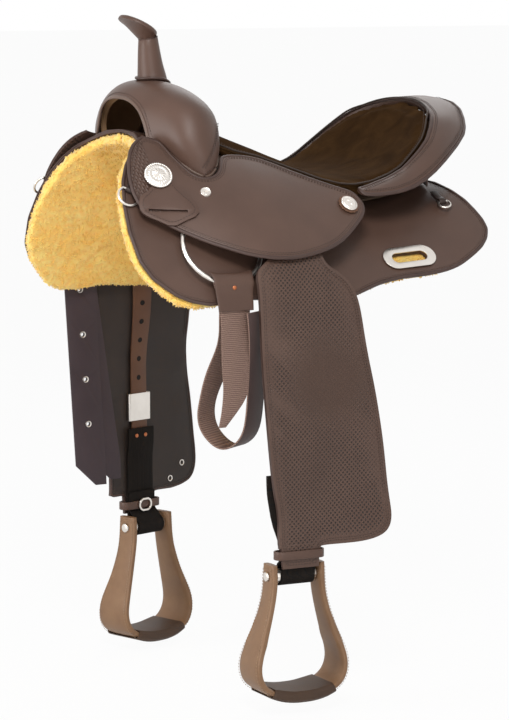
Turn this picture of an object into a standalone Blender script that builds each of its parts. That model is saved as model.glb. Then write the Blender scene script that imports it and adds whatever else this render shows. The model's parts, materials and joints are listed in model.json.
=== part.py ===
# Barrel racing saddle, metres, Z up. The saddle faces -X and its left side is -Y.
# The origin is on the centre plane, where the ridge of a saddle rack touches the lining.

import math

import bmesh
import bpy
from mathutils import Matrix, Vector
from mathutils.bvhtree import BVHTree

for leftover in list(bpy.data.objects):
    bpy.data.objects.remove(leftover, do_unlink=True)

# Driving sizes

LEFT = -1
RIGHT = 1
SIDES = {"left": LEFT, "right": RIGHT}

GAP = 0.0006               # clearance between stacked pieces
SEAM = 0.0004              # half the gap between left and right skirts on the ridge
SKIRT_THICK = 0.0040
FLEECE_THICK = 0.0125
FLEECE_LIP = 0.0030        # fleece showing past the front edge of the skirt
JOCKEY_THICK = 0.0035
BAR_THICK = 0.0100
COVER_THICK = 0.0025
FORK_WALL = 0.0080
FORK_GAP = 0.0018          # bed of the cover on the curved fork
SEAT_THICK = 0.0130
GROUND_THICK = 0.0035
ROLL_THICK = 0.0120
ROLL_CROWN = 0.0060
HORN_CAP_RADIUS = 0.0285
HORN_CAP_TILT = math.radians(28.0)
HORN_TOP_SLOPE = 0.20      # rise of the neck's top to the rear, where the cap runs into it
CONCHO_RADIUS = 0.0190
REAR_CONCHO_RADIUS = 0.0118
ROSETTE_RADIUS = 0.0155
KEEPER_THICK = 0.0030
KEEPER_SLOT_LENGTH = 0.0520
KEEPER_SLOT_HEIGHT = 0.0040
SLOT_PLATE_LENGTH = 0.0800
SLOT_PLATE_HEIGHT = 0.0370
SLOT_PLATE_THICK = 0.0018
SLOT_LENGTH = 0.0540
SLOT_HEIGHT = 0.0170
DEE_RADIUS = 0.0140
DEE_WIRE = 0.0018
RING_RADIUS = 0.0550
RING_WIRE = 0.0033
REAR_RING_RADIUS = 0.0085
REAR_RING_WIRE = 0.0018
STRAP_THICK = 0.0022
RUN_FLARE = 0.24           # outward slope of a strap that passes the edge of the skirt
RUN_CLEAR = 0.0330         # height below the ring where the strap hangs plumb
RIG_WIDTH = 0.0240
TIE_WIDTH = 0.0460
RUN_BOW = 0.0006
BILLET_WIDTH = 0.0480
BILLET_HOLE_RADIUS = 0.0030
BILLET_HOLE_PITCH = 0.0650
BILLET_HOLE_COUNT = 4
FENDER_THICK = 0.0045
FENDER_PLANE = 0.2310
LEATHER_THICK = 0.0030
LEATHER_WIDTH = 0.0300
NECK_WIDTH = 0.0500
STIRRUP_X = {LEFT: -0.1055, RIGHT: -0.0840}
BOLT_Z = {LEFT: -0.4840, RIGHT: -0.4890}
HOBBLE_RISE = 0.0300       # hobble strap above the bolt
HOBBLE_HEIGHT = 0.0115
EAR_REACH = 0.0355         # from the middle of the bolt to the middle of each stirrup ear
HOBBLE_WALL = 0.0022
KEEPER_STEEL = 0.0012
BOLT_RADIUS = 0.0045
ROLLER_RADIUS = 0.0100
STIRRUP_THICK = 0.0100
TREAD_THICK = 0.0022

# Surface of the horse's back as the outer face of the skirts follows it: ridge height along X,
# drop below the ridge for a scaled distance from the centre plane, and that scale along X.
RIDGE = [(-0.33, 0.106), (-0.25, 0.105), (-0.18, 0.089), (-0.10, 0.050), (-0.04, 0.025),
         (0.00, 0.0190), (0.06, 0.008), (0.14, 0.012), (0.20, 0.024), (0.27, 0.034)]
DROP = [(0.0, 0.0), (0.03, 0.0018), (0.055, 0.0080), (0.0745, 0.0205), (0.0885, 0.0385),
        (0.1115, 0.0715), (0.144, 0.1215), (0.162, 0.152), (0.1885, 0.205), (0.22, 0.270)]
NARROW = [(-0.33, 1.02), (-0.27, 0.985), (-0.20, 0.888), (-0.15, 0.820), (-0.08, 0.745),
          (-0.01, 0.680), (0.04, 0.636), (0.10, 0.610), (0.20, 0.605), (0.27, 0.600)]

# Outer face of the jockeys: close over the skirts in front, rounder over the bars behind
JOCKEY_HEIGHT = [(-0.34, 0.106), (-0.26, 0.105), (-0.12, 0.095), (0.00, 0.081), (0.10, 0.075)]
JOCKEY_STEEP = [(-0.34, 6.35), (-0.26, 6.33), (-0.12, 6.00), (0.00, 5.60), (0.10, 5.40)]
JOCKEY_POWER = 2.5
JOCKEY_FRONT_GAP = 0.0197
JOCKEY_BLEND = (-0.31, -0.12)


# Curves and tables

def smooth_table(table, x):
    """Monotone smooth value of a table of (x, value) pairs."""
    if x <= table[0][0]:
        return table[0][1]
    if x >= table[-1][0]:
        return table[-1][1]
    for i in range(len(table) - 1):
        x0, v0 = table[i]
        x1, v1 = table[i + 1]
        if x <= x1:
            before = table[max(i - 1, 0)]
            after = table[min(i + 2, len(table) - 1)]
            slope0 = (v1 - before[1]) / (x1 - before[0])
            slope1 = (after[1] - v0) / (after[0] - x0)
            t = (x - x0) / (x1 - x0)
            h = x1 - x0
            return ((2 * t**3 - 3 * t**2 + 1) * v0 + (t**3 - 2 * t**2 + t) * h * slope0
                    + (3 * t**2 - 2 * t**3) * v1 + (t**3 - t**2) * h * slope1)


def curve_through(points, count, stop=1.0):
    """Evenly numbered points on a smooth curve through the given points."""
    points = [Vector(p) for p in points]
    last = len(points) - 1
    out = []
    for k in range(count):
        s = last * stop * k / (count - 1)
        i = min(int(s), last - 1)
        t = s - i
        p0 = points[i - 1] if i > 0 else 2 * points[0] - points[1]
        p1 = points[i]
        p2 = points[i + 1]
        p3 = points[i + 2] if i + 2 <= last else 2 * points[last] - points[last - 1]
        out.append(0.5 * (2 * p1 + (p2 - p0) * t + (2 * p0 - 5 * p1 + 4 * p2 - p3) * t**2
                          + (3 * p1 - 3 * p2 + p3 - p0) * t**3))
    return out


def back_height(x, y):
    return smooth_table(RIDGE, x) - smooth_table(DROP, abs(y) * smooth_table(NARROW, x))


def jockey_height(x, y):
    share = (x - JOCKEY_BLEND[0]) / (JOCKEY_BLEND[1] - JOCKEY_BLEND[0])
    share = min(1.0, max(0.0, share))
    share = share * share * (3 - 2 * share)
    front = back_height(x, y) + JOCKEY_FRONT_GAP
    rear = smooth_table(JOCKEY_HEIGHT, x) - smooth_table(JOCKEY_STEEP, x) * abs(y) ** JOCKEY_POWER
    return front + (rear - front) * share


def surface_normal(height, x, y):
    step = 0.001
    dx = (height(x + step, y) - height(x - step, y)) / (2 * step)
    dy = (height(x, y + step) - height(x, y - step)) / (2 * step)
    return Vector((-dx, -dy, 1.0)).normalized()


def on_surface(height, x, y, lift=0.0):
    return Vector((x, y, height(x, y))) + lift * surface_normal(height, x, y)


def surface_frame(height, x, y, lift):
    """Frame on a surface: local X runs to the rear, local Y downhill, local Z outwards."""
    normal = surface_normal(height, x, y)
    rear = (Vector((1, 0, 0)) - normal.x * normal).normalized()
    down = normal.cross(rear)
    if down.z > 0:
        down = -down
        rear = -rear
    rot = Matrix((rear, down, normal)).transposed()
    if rot.determinant() < 0:
        rot = Matrix((-rear, down, normal)).transposed()
    return Matrix.Translation(on_surface(height, x, y, lift)) @ rot.to_4x4()


# Mesh makers

MATERIALS = {}


def material(name, colour, roughness, metallic=0.0):
    made = bpy.data.materials.new(name)
    made.use_nodes = True
    shader = made.node_tree.nodes["Principled BSDF"]
    shader.inputs["Base Color"].default_value = (*colour, 1.0)
    shader.inputs["Roughness"].default_value = roughness
    shader.inputs["Metallic"].default_value = metallic
    MATERIALS[name] = made


def add_object(name, mesh, finish, origin=None):
    """Visible piece; a piece that moves has its origin on the axis it moves about."""
    mesh.materials.append(MATERIALS[finish])
    mesh.shade_smooth()
    mesh.set_sharp_from_angle(angle=math.radians(40))
    made = bpy.data.objects.new(name, mesh)
    if origin is not None:
        mesh.transform(Matrix.Translation(-origin))
        made.location = origin
    bpy.context.scene.collection.objects.link(made)
    return made


def mesh_from(name, vertices, faces):
    bm = bmesh.new()
    points = [bm.verts.new(v) for v in vertices]
    for face in faces:
        bm.faces.new([points[i] for i in face])
    bmesh.ops.recalc_face_normals(bm, faces=bm.faces)
    mesh = bpy.data.meshes.new(name)
    bm.to_mesh(mesh)
    bm.free()
    return mesh


def slab_mesh(name, top, bottom):
    """Closed solid between two grids of points of the same size."""
    rows = len(top)
    columns = len(top[0])
    vertices = [p for row in top for p in row] + [p for row in bottom for p in row]
    under = rows * columns
    faces = []
    for i in range(rows - 1):
        for j in range(columns - 1):
            a = i * columns + j
            quad = [a, a + 1, a + columns + 1, a + columns]
            faces.append(quad)
            faces.append([under + k for k in reversed(quad)])
    rim = [j for j in range(columns)]
    rim += [i * columns + columns - 1 for i in range(1, rows)]
    rim += [(rows - 1) * columns + j for j in range(columns - 2, -1, -1)]
    rim += [i * columns for i in range(rows - 2, 0, -1)]
    for k in range(len(rim)):
        a = rim[k]
        b = rim[(k + 1) % len(rim)]
        faces.append([b, a, under + a, under + b])
    return mesh_from(name, vertices, faces)


def grid_normals(grid):
    rows = len(grid)
    columns = len(grid[0])
    out = []
    for i in range(rows):
        line = []
        for j in range(columns):
            along = grid[min(i + 1, rows - 1)][j] - grid[max(i - 1, 0)][j]
            across = grid[i][min(j + 1, columns - 1)] - grid[i][max(j - 1, 0)]
            line.append(along.cross(across).normalized())
        out.append(line)
    return out


def offset_grid(grid, normals, amount):
    """Grid moved along its normals, by one amount or by one for each point."""
    out = []
    for i, row in enumerate(grid):
        line = []
        for j, point in enumerate(row):
            step = amount(i / (len(grid) - 1), j / (len(row) - 1)) if callable(amount) else amount
            line.append(point + normals[i][j] * step)
        out.append(line)
    return out


def outward(grid, normals, outside):
    """Normals turned so that the middle one points towards the outside direction."""
    middle = normals[len(grid) // 2][len(grid[0]) // 2]
    sign = 1.0 if middle.dot(outside) > 0 else -1.0
    return [[n * sign for n in row] for row in normals]


def loft_mesh(name, rings, closed=False):
    """Rings of points joined one to the next, with end caps unless the path is closed."""
    count = len(rings[0])
    vertices = [p for ring in rings for p in ring]
    faces = []
    last = len(rings) if closed else len(rings) - 1
    for i in range(last):
        k = (i + 1) % len(rings)
        for j in range(count):
            n = (j + 1) % count
            faces.append([i * count + j, i * count + n, k * count + n, k * count + j])
    if not closed:
        faces.append(list(range(count))[::-1])
        faces.append([(len(rings) - 1) * count + j for j in range(count)])
    return mesh_from(name, vertices, faces)


def circle(centre, axis_a, axis_b, radius, count):
    return [centre + radius * (math.cos(2 * math.pi * k / count) * axis_a
                               + math.sin(2 * math.pi * k / count) * axis_b)
            for k in range(count)]


def turned_mesh(name, profile, frame, count, scallop=0.0):
    """Profile of (radius, height) turned round the frame's local Z, closed at both poles."""
    rings = []
    for radius, height in profile:
        ring = []
        for k in range(count):
            angle = 2 * math.pi * k / count
            reach = radius * (1.0 + scallop * (k % 2))
            ring.append(frame @ Vector((reach * math.cos(angle), reach * math.sin(angle), height)))
        rings.append(ring)
    return loft_mesh(name, rings)


def wire_ring_mesh(name, frame, radius, wire, count, sides, flat=0.0):
    """Round wire bent to a ring in the frame's local XY plane, with a flat on local -Y."""
    rings = []
    for k in range(count):
        angle = 2 * math.pi * k / count
        out = Vector((math.cos(angle), math.sin(angle), 0))
        centre = out * radius
        centre.y = max(centre.y, -radius * (1.0 - flat))
        ring = []
        for s in range(sides):
            turn = 2 * math.pi * s / sides
            ring.append(frame @ (centre + wire * (math.cos(turn) * out + math.sin(turn) * Vector((0, 0, 1)))))
        rings.append(ring)
    return loft_mesh(name, rings, closed=True)


def strip_mesh(name, path, widths, thick, width_dirs):
    """Flat strap of a given thickness along a path; each path point has a width direction."""
    rings = []
    last = len(path) - 1
    for i, point in enumerate(path):
        along = (path[min(i + 1, last)] - path[max(i - 1, 0)]).normalized()
        across = width_dirs[i] if isinstance(width_dirs, list) else width_dirs
        out = along.cross(across).normalized()
        half = (widths[i] if isinstance(widths, list) else widths) / 2
        depth = thick / 2
        rings.append([point + across * half + out * depth, point - across * half + out * depth,
                      point - across * half - out * depth, point + across * half - out * depth])
    return loft_mesh(name, rings)


def eye_path(eye, away, side, radius, run_out, run_back, thick, stretch=0.0, steps=8):
    """Centre line of a strap that runs in to an eye, turns round it and runs back."""
    gap = thick * 0.5 + GAP
    path = [eye + away * run_out + side * gap]
    path.append(eye + away * (radius * 1.8) + side * gap)
    swing = math.radians(150.0)
    for k in range(steps + 1):
        angle = swing - 2 * swing * k / steps
        reach = stretch if math.cos(angle) > 0 else 0.0
        path.append(eye + radius * (-math.cos(angle) * away + math.sin(angle) * side) - away * reach)
    path.append(eye + away * (radius * 1.8) - side * gap)
    path.append(eye + away * run_back - side * gap)
    return path


def hanging_run(eye, out, lean, offset, depths):
    """Run of a strap below a ring: out over the edge of the skirt, then plumb."""
    run = []
    for depth in depths:
        flare = RUN_FLARE * min(depth, RUN_CLEAR)
        run.append(eye + Vector((lean * depth, 0, -depth)) + out * (flare + offset))
    return run


def cutter_box(name, frame, size):
    corners = [Vector((a * size[0] / 2, b * size[1] / 2, c * size[2] / 2))
               for a in (-1, 1) for b in (-1, 1) for c in (-1, 1)]
    faces = [(0, 1, 3, 2), (4, 6, 7, 5), (0, 4, 5, 1), (2, 3, 7, 6), (0, 2, 6, 4), (1, 5, 7, 3)]
    return cutter(name, mesh_from(name, [frame @ c for c in corners], faces))


def cutter(name, mesh):
    made = bpy.data.objects.new(name, mesh)
    bpy.context.scene.collection.objects.link(made)
    made.hide_render = True
    made.display_type = "WIRE"
    return made


def cut(target, tool):
    change = target.modifiers.new("cut_" + tool.name, "BOOLEAN")
    change.operation = "DIFFERENCE"
    change.object = tool
    change.solver = "EXACT"


def rounded_slot(length, height, count):
    """Outline of a slot with round ends, counted evenly, counter-clockwise."""
    radius = height / 2
    straight = length / 2 - radius
    out = []
    for k in range(count):
        angle = 2 * math.pi * (k + 0.5) / count
        x = radius * math.cos(angle) + math.copysign(straight, math.cos(angle))
        out.append(Vector((x, radius * math.sin(angle), 0)))
    return out


# Finishes

for finish_name, finish_colour, finish_rough, finish_metal in [
        ("smooth_leather", (0.115, 0.080, 0.062), 0.52, 0.0),
        ("stamped_leather", (0.105, 0.075, 0.058), 0.60, 0.0),
        ("binding", (0.085, 0.060, 0.062), 0.55, 0.0),
        ("suede", (0.075, 0.048, 0.026), 0.95, 0.0),
        ("fleece", (0.860, 0.570, 0.190), 0.95, 0.0),
        ("strap_brown", (0.140, 0.080, 0.045), 0.60, 0.0),
        ("billet_leather", (0.060, 0.044, 0.050), 0.60, 0.0),
        ("webbing", (0.240, 0.160, 0.120), 0.80, 0.0),
        ("sleeve_black", (0.012, 0.010, 0.009), 0.60, 0.0),
        ("steel", (0.780, 0.760, 0.720), 0.25, 1.0),
        ("stirrup_brown", (0.200, 0.125, 0.075), 0.55, 0.0),
        ("tread_rubber", (0.055, 0.036, 0.025), 0.80, 0.0),
        ("tree_shell", (0.030, 0.030, 0.032), 0.50, 0.0),
]:
    material(finish_name, finish_colour, finish_rough, finish_metal)

# Skirts and fleece: front edge, bottom edge and rear edge in plan, as (x, |y|)

SKIRT_FRONT = [(-0.2480, 0.0), (-0.2490, 0.030), (-0.2520, 0.060), (-0.2622, 0.0740),
               (-0.2766, 0.0810), (-0.2889, 0.0890), (-0.2999, 0.0995), (-0.3074, 0.1115),
               (-0.3130, 0.1270), (-0.3158, 0.1440), (-0.3136, 0.1620), (-0.3060, 0.1730),
               (-0.2940, 0.1820), (-0.2717, 0.1935)]
SKIRT_BOTTOM = [(-0.2717, 0.1935), (-0.2255, 0.2100), (-0.1540, 0.2178), (-0.0820, 0.2215),
                (-0.0119, 0.2215), (0.0333, 0.2145), (0.0660, 0.2116), (0.1111, 0.2145),
                (0.1583, 0.2129), (0.1920, 0.2050)]
SKIRT_REAR = [(0.2060, 0.0), (0.2124, 0.0524), (0.2175, 0.1068), (0.2264, 0.1381),
              (0.2327, 0.1608), (0.2312, 0.1799), (0.2152, 0.1957), (0.1920, 0.2050)]


def plan_patch(front, bottom, rear, rows, columns):
    """Plan points of a four sided patch whose top edge is the ridge."""
    front_line = curve_through([Vector((*p, 0)) for p in front], columns)
    rear_line = curve_through([Vector((*p, 0)) for p in rear], columns)
    bottom_line = curve_through([Vector((*p, 0)) for p in bottom], rows)
    grid = []
    for i in range(rows):
        t = i / (rows - 1)
        ridge = front_line[0].lerp(rear_line[0], t)
        line = []
        for j in range(columns):
            v = j / (columns - 1)
            sides = front_line[j].lerp(rear_line[j], t)
            ends = ridge.lerp(bottom_line[i], v)
            corners = front_line[0].lerp(rear_line[0], t).lerp(front_line[-1].lerp(rear_line[-1], t), v)
            line.append(sides + ends - corners)
        grid.append(line)
    return grid


def back_sheet(name, plan, side, low, high, finish):
    """Closed sheet on the back surface between two lifts, on one side of the ridge."""
    bottom = []
    top = []
    for row in plan:
        bottom.append([on_surface(back_height, p.x, side * max(p.y, SEAM), low) for p in row])
        top.append([on_surface(back_height, p.x, side * max(p.y, SEAM), high) for p in row])
    for line in bottom + top:
        line[0].y = side * SEAM
    return add_object(name, slab_mesh(name, top, bottom), finish)


skirt_plan = plan_patch(SKIRT_FRONT, SKIRT_BOTTOM, SKIRT_REAR, 21, 11)
# Reach of the fleece past the bottom edge of the skirt along X, on each side
FLEECE_REACH = {
    LEFT: [(-0.27, 0.0030), (-0.24, 0.0010), (-0.20, -0.0035), (0.0, -0.0050), (0.20, -0.0080)],
    RIGHT: [(-0.30, 0.0030), (-0.25, 0.0055), (-0.08, 0.0055), (0.02, -0.0020), (0.20, -0.0080)],
}


def fleece_plan(side):
    """Plan of a fleece: past the skirt in front, drawn in behind."""
    bottom = [(x, y + smooth_table(FLEECE_REACH[side], x)) for x, y in SKIRT_BOTTOM]
    front = [(x - FLEECE_LIP * (0.25 + 0.75 * min(1.0, y / 0.15)), y) for x, y in SKIRT_FRONT[:-1]]
    rear = [(x - 2 * FLEECE_LIP, y) for x, y in SKIRT_REAR[:-1]]
    return plan_patch(front + [bottom[0]], bottom, rear + [bottom[-1]], 17, 10)


PLATE_PLACE = (0.0928, 0.1903)

for side_name, side in SIDES.items():
    skirt = back_sheet("skirt_" + side_name, skirt_plan, side, -SKIRT_THICK, 0.0, "smooth_leather")
    back_sheet("fleece_" + side_name, fleece_plan(side), side, -SKIRT_THICK - 4 * GAP - FLEECE_THICK,
               -SKIRT_THICK - 4 * GAP, "fleece")
    plate_frame = surface_frame(back_height, PLATE_PLACE[0], side * PLATE_PLACE[1], 0.0)
    slot_outline = rounded_slot(SLOT_LENGTH, SLOT_HEIGHT, 20)
    reach = Vector((0, 0, SKIRT_THICK * 0.5 + 0.004))
    slot_tool = cutter("slot_tool_" + side_name, loft_mesh(
        "slot_tool", [[plate_frame @ (p - reach - Vector((0, 0, 0.0025))) for p in slot_outline],
                      [plate_frame @ (p + reach) for p in slot_outline]]))
    cut(skirt, slot_tool)

    # Slot plate: a flat oval of steel with the same slot, lying on the skirt
    outer = rounded_slot(SLOT_PLATE_LENGTH, SLOT_PLATE_HEIGHT, 32)
    inner = rounded_slot(SLOT_LENGTH, SLOT_HEIGHT, 32)
    lift = Vector((0, 0, 0.0016))
    rise = Vector((0, 0, SLOT_PLATE_THICK))
    section = [[p + lift for p in outer], [p + lift + rise for p in outer],
               [p + lift + rise for p in inner], [p + lift for p in inner]]
    rings = [[plate_frame @ loop[k] for loop in section] for k in range(32)]
    add_object("slot_plate_" + side_name, loft_mesh("slot_plate", rings, closed=True), "steel")

# Tree bars: pads with feathered edges that lie on the skirts each side of the channel

BAR_LIFT = 0.0018
BAR_FRONT = -0.215
BAR_REAR = 0.150
BAR_INNER = 0.044
BAR_OUTER = [(-0.05, 0.136), (0.06, 0.098), (0.15, 0.086)]


def bar_grids(side, extra, rows=13, columns=7):
    bottom = []
    top = []
    for i in range(rows):
        t = i / (rows - 1)
        x = BAR_FRONT - extra + (BAR_REAR - BAR_FRONT + 2 * extra) * t
        round_end = math.sqrt(max(0.0, 1.0 - abs(2 * t - 1) ** 6))
        squeeze = 0.45 + 0.55 * round_end
        reach = smooth_table(BAR_OUTER, x)
        middle = 0.5 * (BAR_INNER + reach)
        half = (0.5 * (reach - BAR_INNER) + extra) * squeeze
        low_line = []
        high_line = []
        for j in range(columns):
            v = j / (columns - 1)
            y = side * (middle + half * (2 * v - 1))
            thick = BAR_THICK * (0.30 + 0.70 * math.sin(math.pi * v ** 0.75)) * min(1.0, 0.35 + 2.6 * t)
            low_line.append(on_surface(back_height, x, y, BAR_LIFT - extra))
            high_line.append(on_surface(back_height, x, y, BAR_LIFT + thick + extra))
        bottom.append(low_line)
        top.append(high_line)
    return top, bottom


bar_tools = []
for side_name, side in SIDES.items():
    top, bottom = bar_grids(side, 0.0)
    add_object("tree_bar_" + side_name, slab_mesh("tree_bar", top, bottom), "tree_shell")
    top, bottom = bar_grids(side, GAP)
    bar_tools.append(cutter("bar_tool_" + side_name, slab_mesh("bar_tool", top, bottom)))

# Fork: each column runs from the gullet lip over the swell to the rear edge, base to centre

FORK_COLUMNS = [
    [(-0.2460, 0.0730, 0.0905), (-0.2320, 0.0880, 0.0840), (-0.2195, 0.1130, 0.0630),
     (-0.1945, 0.1335, 0.0450), (-0.1740, 0.1265, 0.0560), (-0.1600, 0.1060, 0.072)],
    [(-0.2470, 0.0660, 0.110), (-0.2365, 0.0920, 0.1060), (-0.2230, 0.1235, 0.0930),
     (-0.1940, 0.1375, 0.0820), (-0.1665, 0.1240, 0.0840), (-0.1545, 0.1000, 0.088)],
    [(-0.2490, 0.0530, 0.132), (-0.2365, 0.0790, 0.1345), (-0.2170, 0.1060, 0.1370),
     (-0.1900, 0.1150, 0.1380), (-0.1590, 0.1010, 0.1260), (-0.1480, 0.0780, 0.104)],
    [(-0.2510, 0.0290, 0.145), (-0.2410, 0.0420, 0.1530), (-0.2220, 0.0540, 0.1625),
     (-0.1920, 0.0570, 0.1645), (-0.1580, 0.0510, 0.1470), (-0.1420, 0.0420, 0.113)],
    [(-0.2520, 0.0000, 0.148), (-0.2470, 0.0000, 0.1580), (-0.2300, 0.0000, 0.1680),
     (-0.1980, 0.0000, 0.1710), (-0.1640, 0.0000, 0.1520), (-0.1400, 0.0000, 0.116)],
]


def fork_grid(rows, columns):
    """Outer face of the fork cover from the left base over the top to the right base."""
    keys = [[Vector((x, -y, z)) for x, y, z in column] for column in FORK_COLUMNS]
    keys += [[Vector((x, y, z)) for x, y, z in column] for column in FORK_COLUMNS[-2::-1]]
    across = [curve_through([column[k] for column in keys], rows) for k in range(6)]
    return [curve_through([across[k][i] for k in range(6)], columns) for i in range(rows)]


FORK_ROWS = 25
FORK_STEPS = 11
fork_face = fork_grid(FORK_ROWS, FORK_STEPS)
fork_out = outward(fork_face, grid_normals(fork_face), Vector((0, 0, 1)))
cover_inner = offset_grid(fork_face, fork_out, -COVER_THICK)
fork_cover = add_object("fork_cover", slab_mesh("fork_cover", fork_face, cover_inner), "smooth_leather")

tree_top = [row[1:-1] for row in offset_grid(fork_face, fork_out, -COVER_THICK - FORK_GAP)[1:-1]]
tree_low = [row[1:-1] for row in offset_grid(fork_face, fork_out, -COVER_THICK - FORK_GAP - FORK_WALL)[1:-1]]
tree_fork = add_object("tree_fork", slab_mesh("tree_fork", tree_top, tree_low), "strap_brown")
for tool in bar_tools:
    cut(tree_fork, tool)
    cut(fork_cover, tool)

# Horn: wrapped neck that sits on the fork cover, and the tilted cap

HORN_LINE = [(-0.1990, 0.160), (-0.2005, 0.174), (-0.2025, 0.190), (-0.2045, 0.207), (-0.2060, 0.2262)]
HORN_RADII = [0.0215, 0.0195, 0.0175, 0.0155, 0.0133]
CAP_CENTRE = Vector((-0.2225, 0.0, 0.2415))
ROUND = 20

cover_tree = BVHTree.FromPolygons(
    [p for row in fork_face for p in row],
    [(i * FORK_STEPS + j, i * FORK_STEPS + j + 1, (i + 1) * FORK_STEPS + j + 1, (i + 1) * FORK_STEPS + j)
     for i in range(FORK_ROWS - 1) for j in range(FORK_STEPS - 1)])


def horn_ring(level, radius, drop=None):
    x, z = HORN_LINE[level]
    ring = circle(Vector((x, 0, z)), Vector((1, 0, 0)), Vector((0, 1, 0)), radius, ROUND)
    if drop is not None:
        for p in ring:
            hit = cover_tree.ray_cast(Vector((p.x, p.y, 0.4)), Vector((0, 0, -1)))[0]
            p.z = hit.z + drop
    return ring


neck_rings = [horn_ring(0, radius, 0.0010) for radius in (0.0030, 0.0100, 0.0165, HORN_RADII[0] - 0.0020)]
neck_rings.append(horn_ring(0, HORN_RADII[0], 0.0020))
neck_rings.append([p + Vector((0, 0, 0.0030)) for p in horn_ring(0, HORN_RADII[0] - 0.0006, 0.0008)])
for level in range(1, 5):
    ring = horn_ring(level, HORN_RADII[level])
    for p in ring:
        p.z += HORN_TOP_SLOPE * max(0, level - 2) / 2 * (p.x - HORN_LINE[level][0])
    if level == 1:
        for p, q in zip(ring, neck_rings[5]):
            p.z = max(p.z + 0.005, q.z + 0.003)
    neck_rings.append(ring)
add_object("horn_neck", loft_mesh("horn_neck", neck_rings), "smooth_leather")

cap_rings = []
neck_tilt = -math.atan(HORN_TOP_SLOPE)
for share, radius, lower in [(0.0, 0.0128, 0.0), (0.35, 0.0165, 0.0), (0.7, 0.0235, 0.0),
                             (0.92, 0.0275, 0.0), (1.0, HORN_CAP_RADIUS, 0.0),
                             (1.0, HORN_CAP_RADIUS, 0.0035), (1.0, 0.0262, 0.0060), (1.0, 0.0150, 0.0072)]:
    tilt = neck_tilt + (HORN_CAP_TILT - neck_tilt) * min(1.0, share * 1.3)
    start = Vector((HORN_LINE[4][0], 0, HORN_LINE[4][1] + GAP))
    centre = start.lerp(CAP_CENTRE, share)
    forward = Vector((-math.cos(tilt), 0, math.sin(tilt)))
    normal = Vector((math.sin(tilt), 0, math.cos(tilt)))
    ring = circle(centre + normal * lower, forward, Vector((0, -1, 0)), radius, 24)
    for p in ring:
        p.z = max(p.z, start.z + HORN_TOP_SLOPE * (p.x - start.x) + share * GAP)
    cap_rings.append(ring)
add_object("horn_cap", loft_mesh("horn_cap", cap_rings), "smooth_leather")

# Seat: rows of (edge point, centre point) from the fork to the crown of the cantle

SEAT_ROWS = [
    ((-0.1500, 0.0740, 0.0900), (-0.1370, 0.0, 0.1050)),
    ((-0.1320, 0.1010, 0.0760), (-0.1150, 0.0, 0.0915)),
    ((-0.1020, 0.1105, 0.0690), (-0.0850, 0.0, 0.0785)),
    ((-0.0620, 0.1300, 0.0530), (-0.0440, 0.0, 0.0600)),
    ((-0.0050, 0.1510, 0.0320), (0.0100, 0.0, 0.0410)),
    ((0.0435, 0.1540, 0.0290), (0.0600, 0.0, 0.0340)),
    ((0.0994, 0.1460, 0.0440), (0.1150, 0.0, 0.0450)),
    ((0.1275, 0.1410, 0.0640), (0.1500, 0.0, 0.0680)),
    ((0.1562, 0.1308, 0.0885), (0.1780, 0.0, 0.0960)),
    ((0.1785, 0.1068, 0.1130), (0.1970, 0.0, 0.1235)),
    ((0.1900, 0.0900, 0.1225), (0.2080, 0.0, 0.1385)),
]


def seat_grid(rows, columns, shrink, stop):
    edges = curve_through([edge for edge, centre in SEAT_ROWS], rows, stop)
    centres = curve_through([centre for edge, centre in SEAT_ROWS], rows, stop)
    grid = []
    for edge, centre in zip(edges, centres):
        line = []
        for j in range(columns):
            v = math.sin(math.pi / 2 * (2 * j / (columns - 1) - 1))
            y = (edge.y - shrink) * v
            x = centre.x + (edge.x - centre.x) * v ** 2
            z = centre.z + (edge.z - centre.z) * abs(v) ** 2.4
            line.append(Vector((x, y, z)))
        grid.append(line)
    return grid


SEAT_STEPS = 20
seat_face = seat_grid(SEAT_STEPS, 15, 0.0, 1.0)
seat_up = outward(seat_face, grid_normals(seat_face), Vector((0, 0, 1)))


def seat_drawn_in(u, v):
    """Drop of the upper face near its edges, where the cushion is sewn down."""
    edge = min(v, 1 - v) * 2
    end = min(1.0, u * 14, (1 - u) * 14)
    return -0.0045 * (1.0 - min(1.0, edge * 9.0)) - 0.0030 * (1.0 - end)


seat_top = offset_grid(seat_face, seat_up, seat_drawn_in)
seat_floor = seat_grid(SEAT_STEPS, 15, 0.0175, 0.93)
floor_up = outward(seat_floor, grid_normals(seat_floor), Vector((0, 0, 1)))
seat_low = offset_grid(seat_floor, floor_up, lambda u, v: -SEAT_THICK * min(1.0, 0.40 + 3.0 * u))
add_object("seat_pad", slab_mesh("seat_pad", seat_top, seat_low), "suede")

ground_rows = [row[2:-2] for row in seat_floor[3:16]]
ground_up = [row[2:-2] for row in floor_up[3:16]]
ground_top = offset_grid(ground_rows, ground_up, -SEAT_THICK - GAP)
ground_low = offset_grid(ground_rows, ground_up, -SEAT_THICK - GAP - GROUND_THICK)
ground_seat = add_object("ground_seat", slab_mesh("ground_seat", ground_top, ground_low), "tree_shell")
for tool in bar_tools:
    cut(ground_seat, tool)

# Cantle: crown curve and outer curve, centre to tip, for the roll, board, back and binding

CROWN = [(0.2095, 0.0, 0.1375), (0.2055, 0.048, 0.1325), (0.1935, 0.0895, 0.1210),
         (0.1820, 0.1100, 0.1105), (0.1590, 0.1335, 0.0865), (0.1290, 0.1430, 0.0620),
         (0.0994, 0.1480, 0.0425), (0.0435, 0.1565, 0.0265), (0.0300, 0.1590, 0.0250)]
OUTER = [(0.2760, 0.0, 0.1335), (0.2700, 0.050, 0.1240), (0.2500, 0.093, 0.1040),
         (0.2283, 0.120, 0.0870), (0.1775, 0.155, 0.0600), (0.1360, 0.172, 0.0370),
         (0.0980, 0.178, 0.0215), (0.0520, 0.176, 0.0160), (0.0300, 0.170, 0.0175)]


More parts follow.
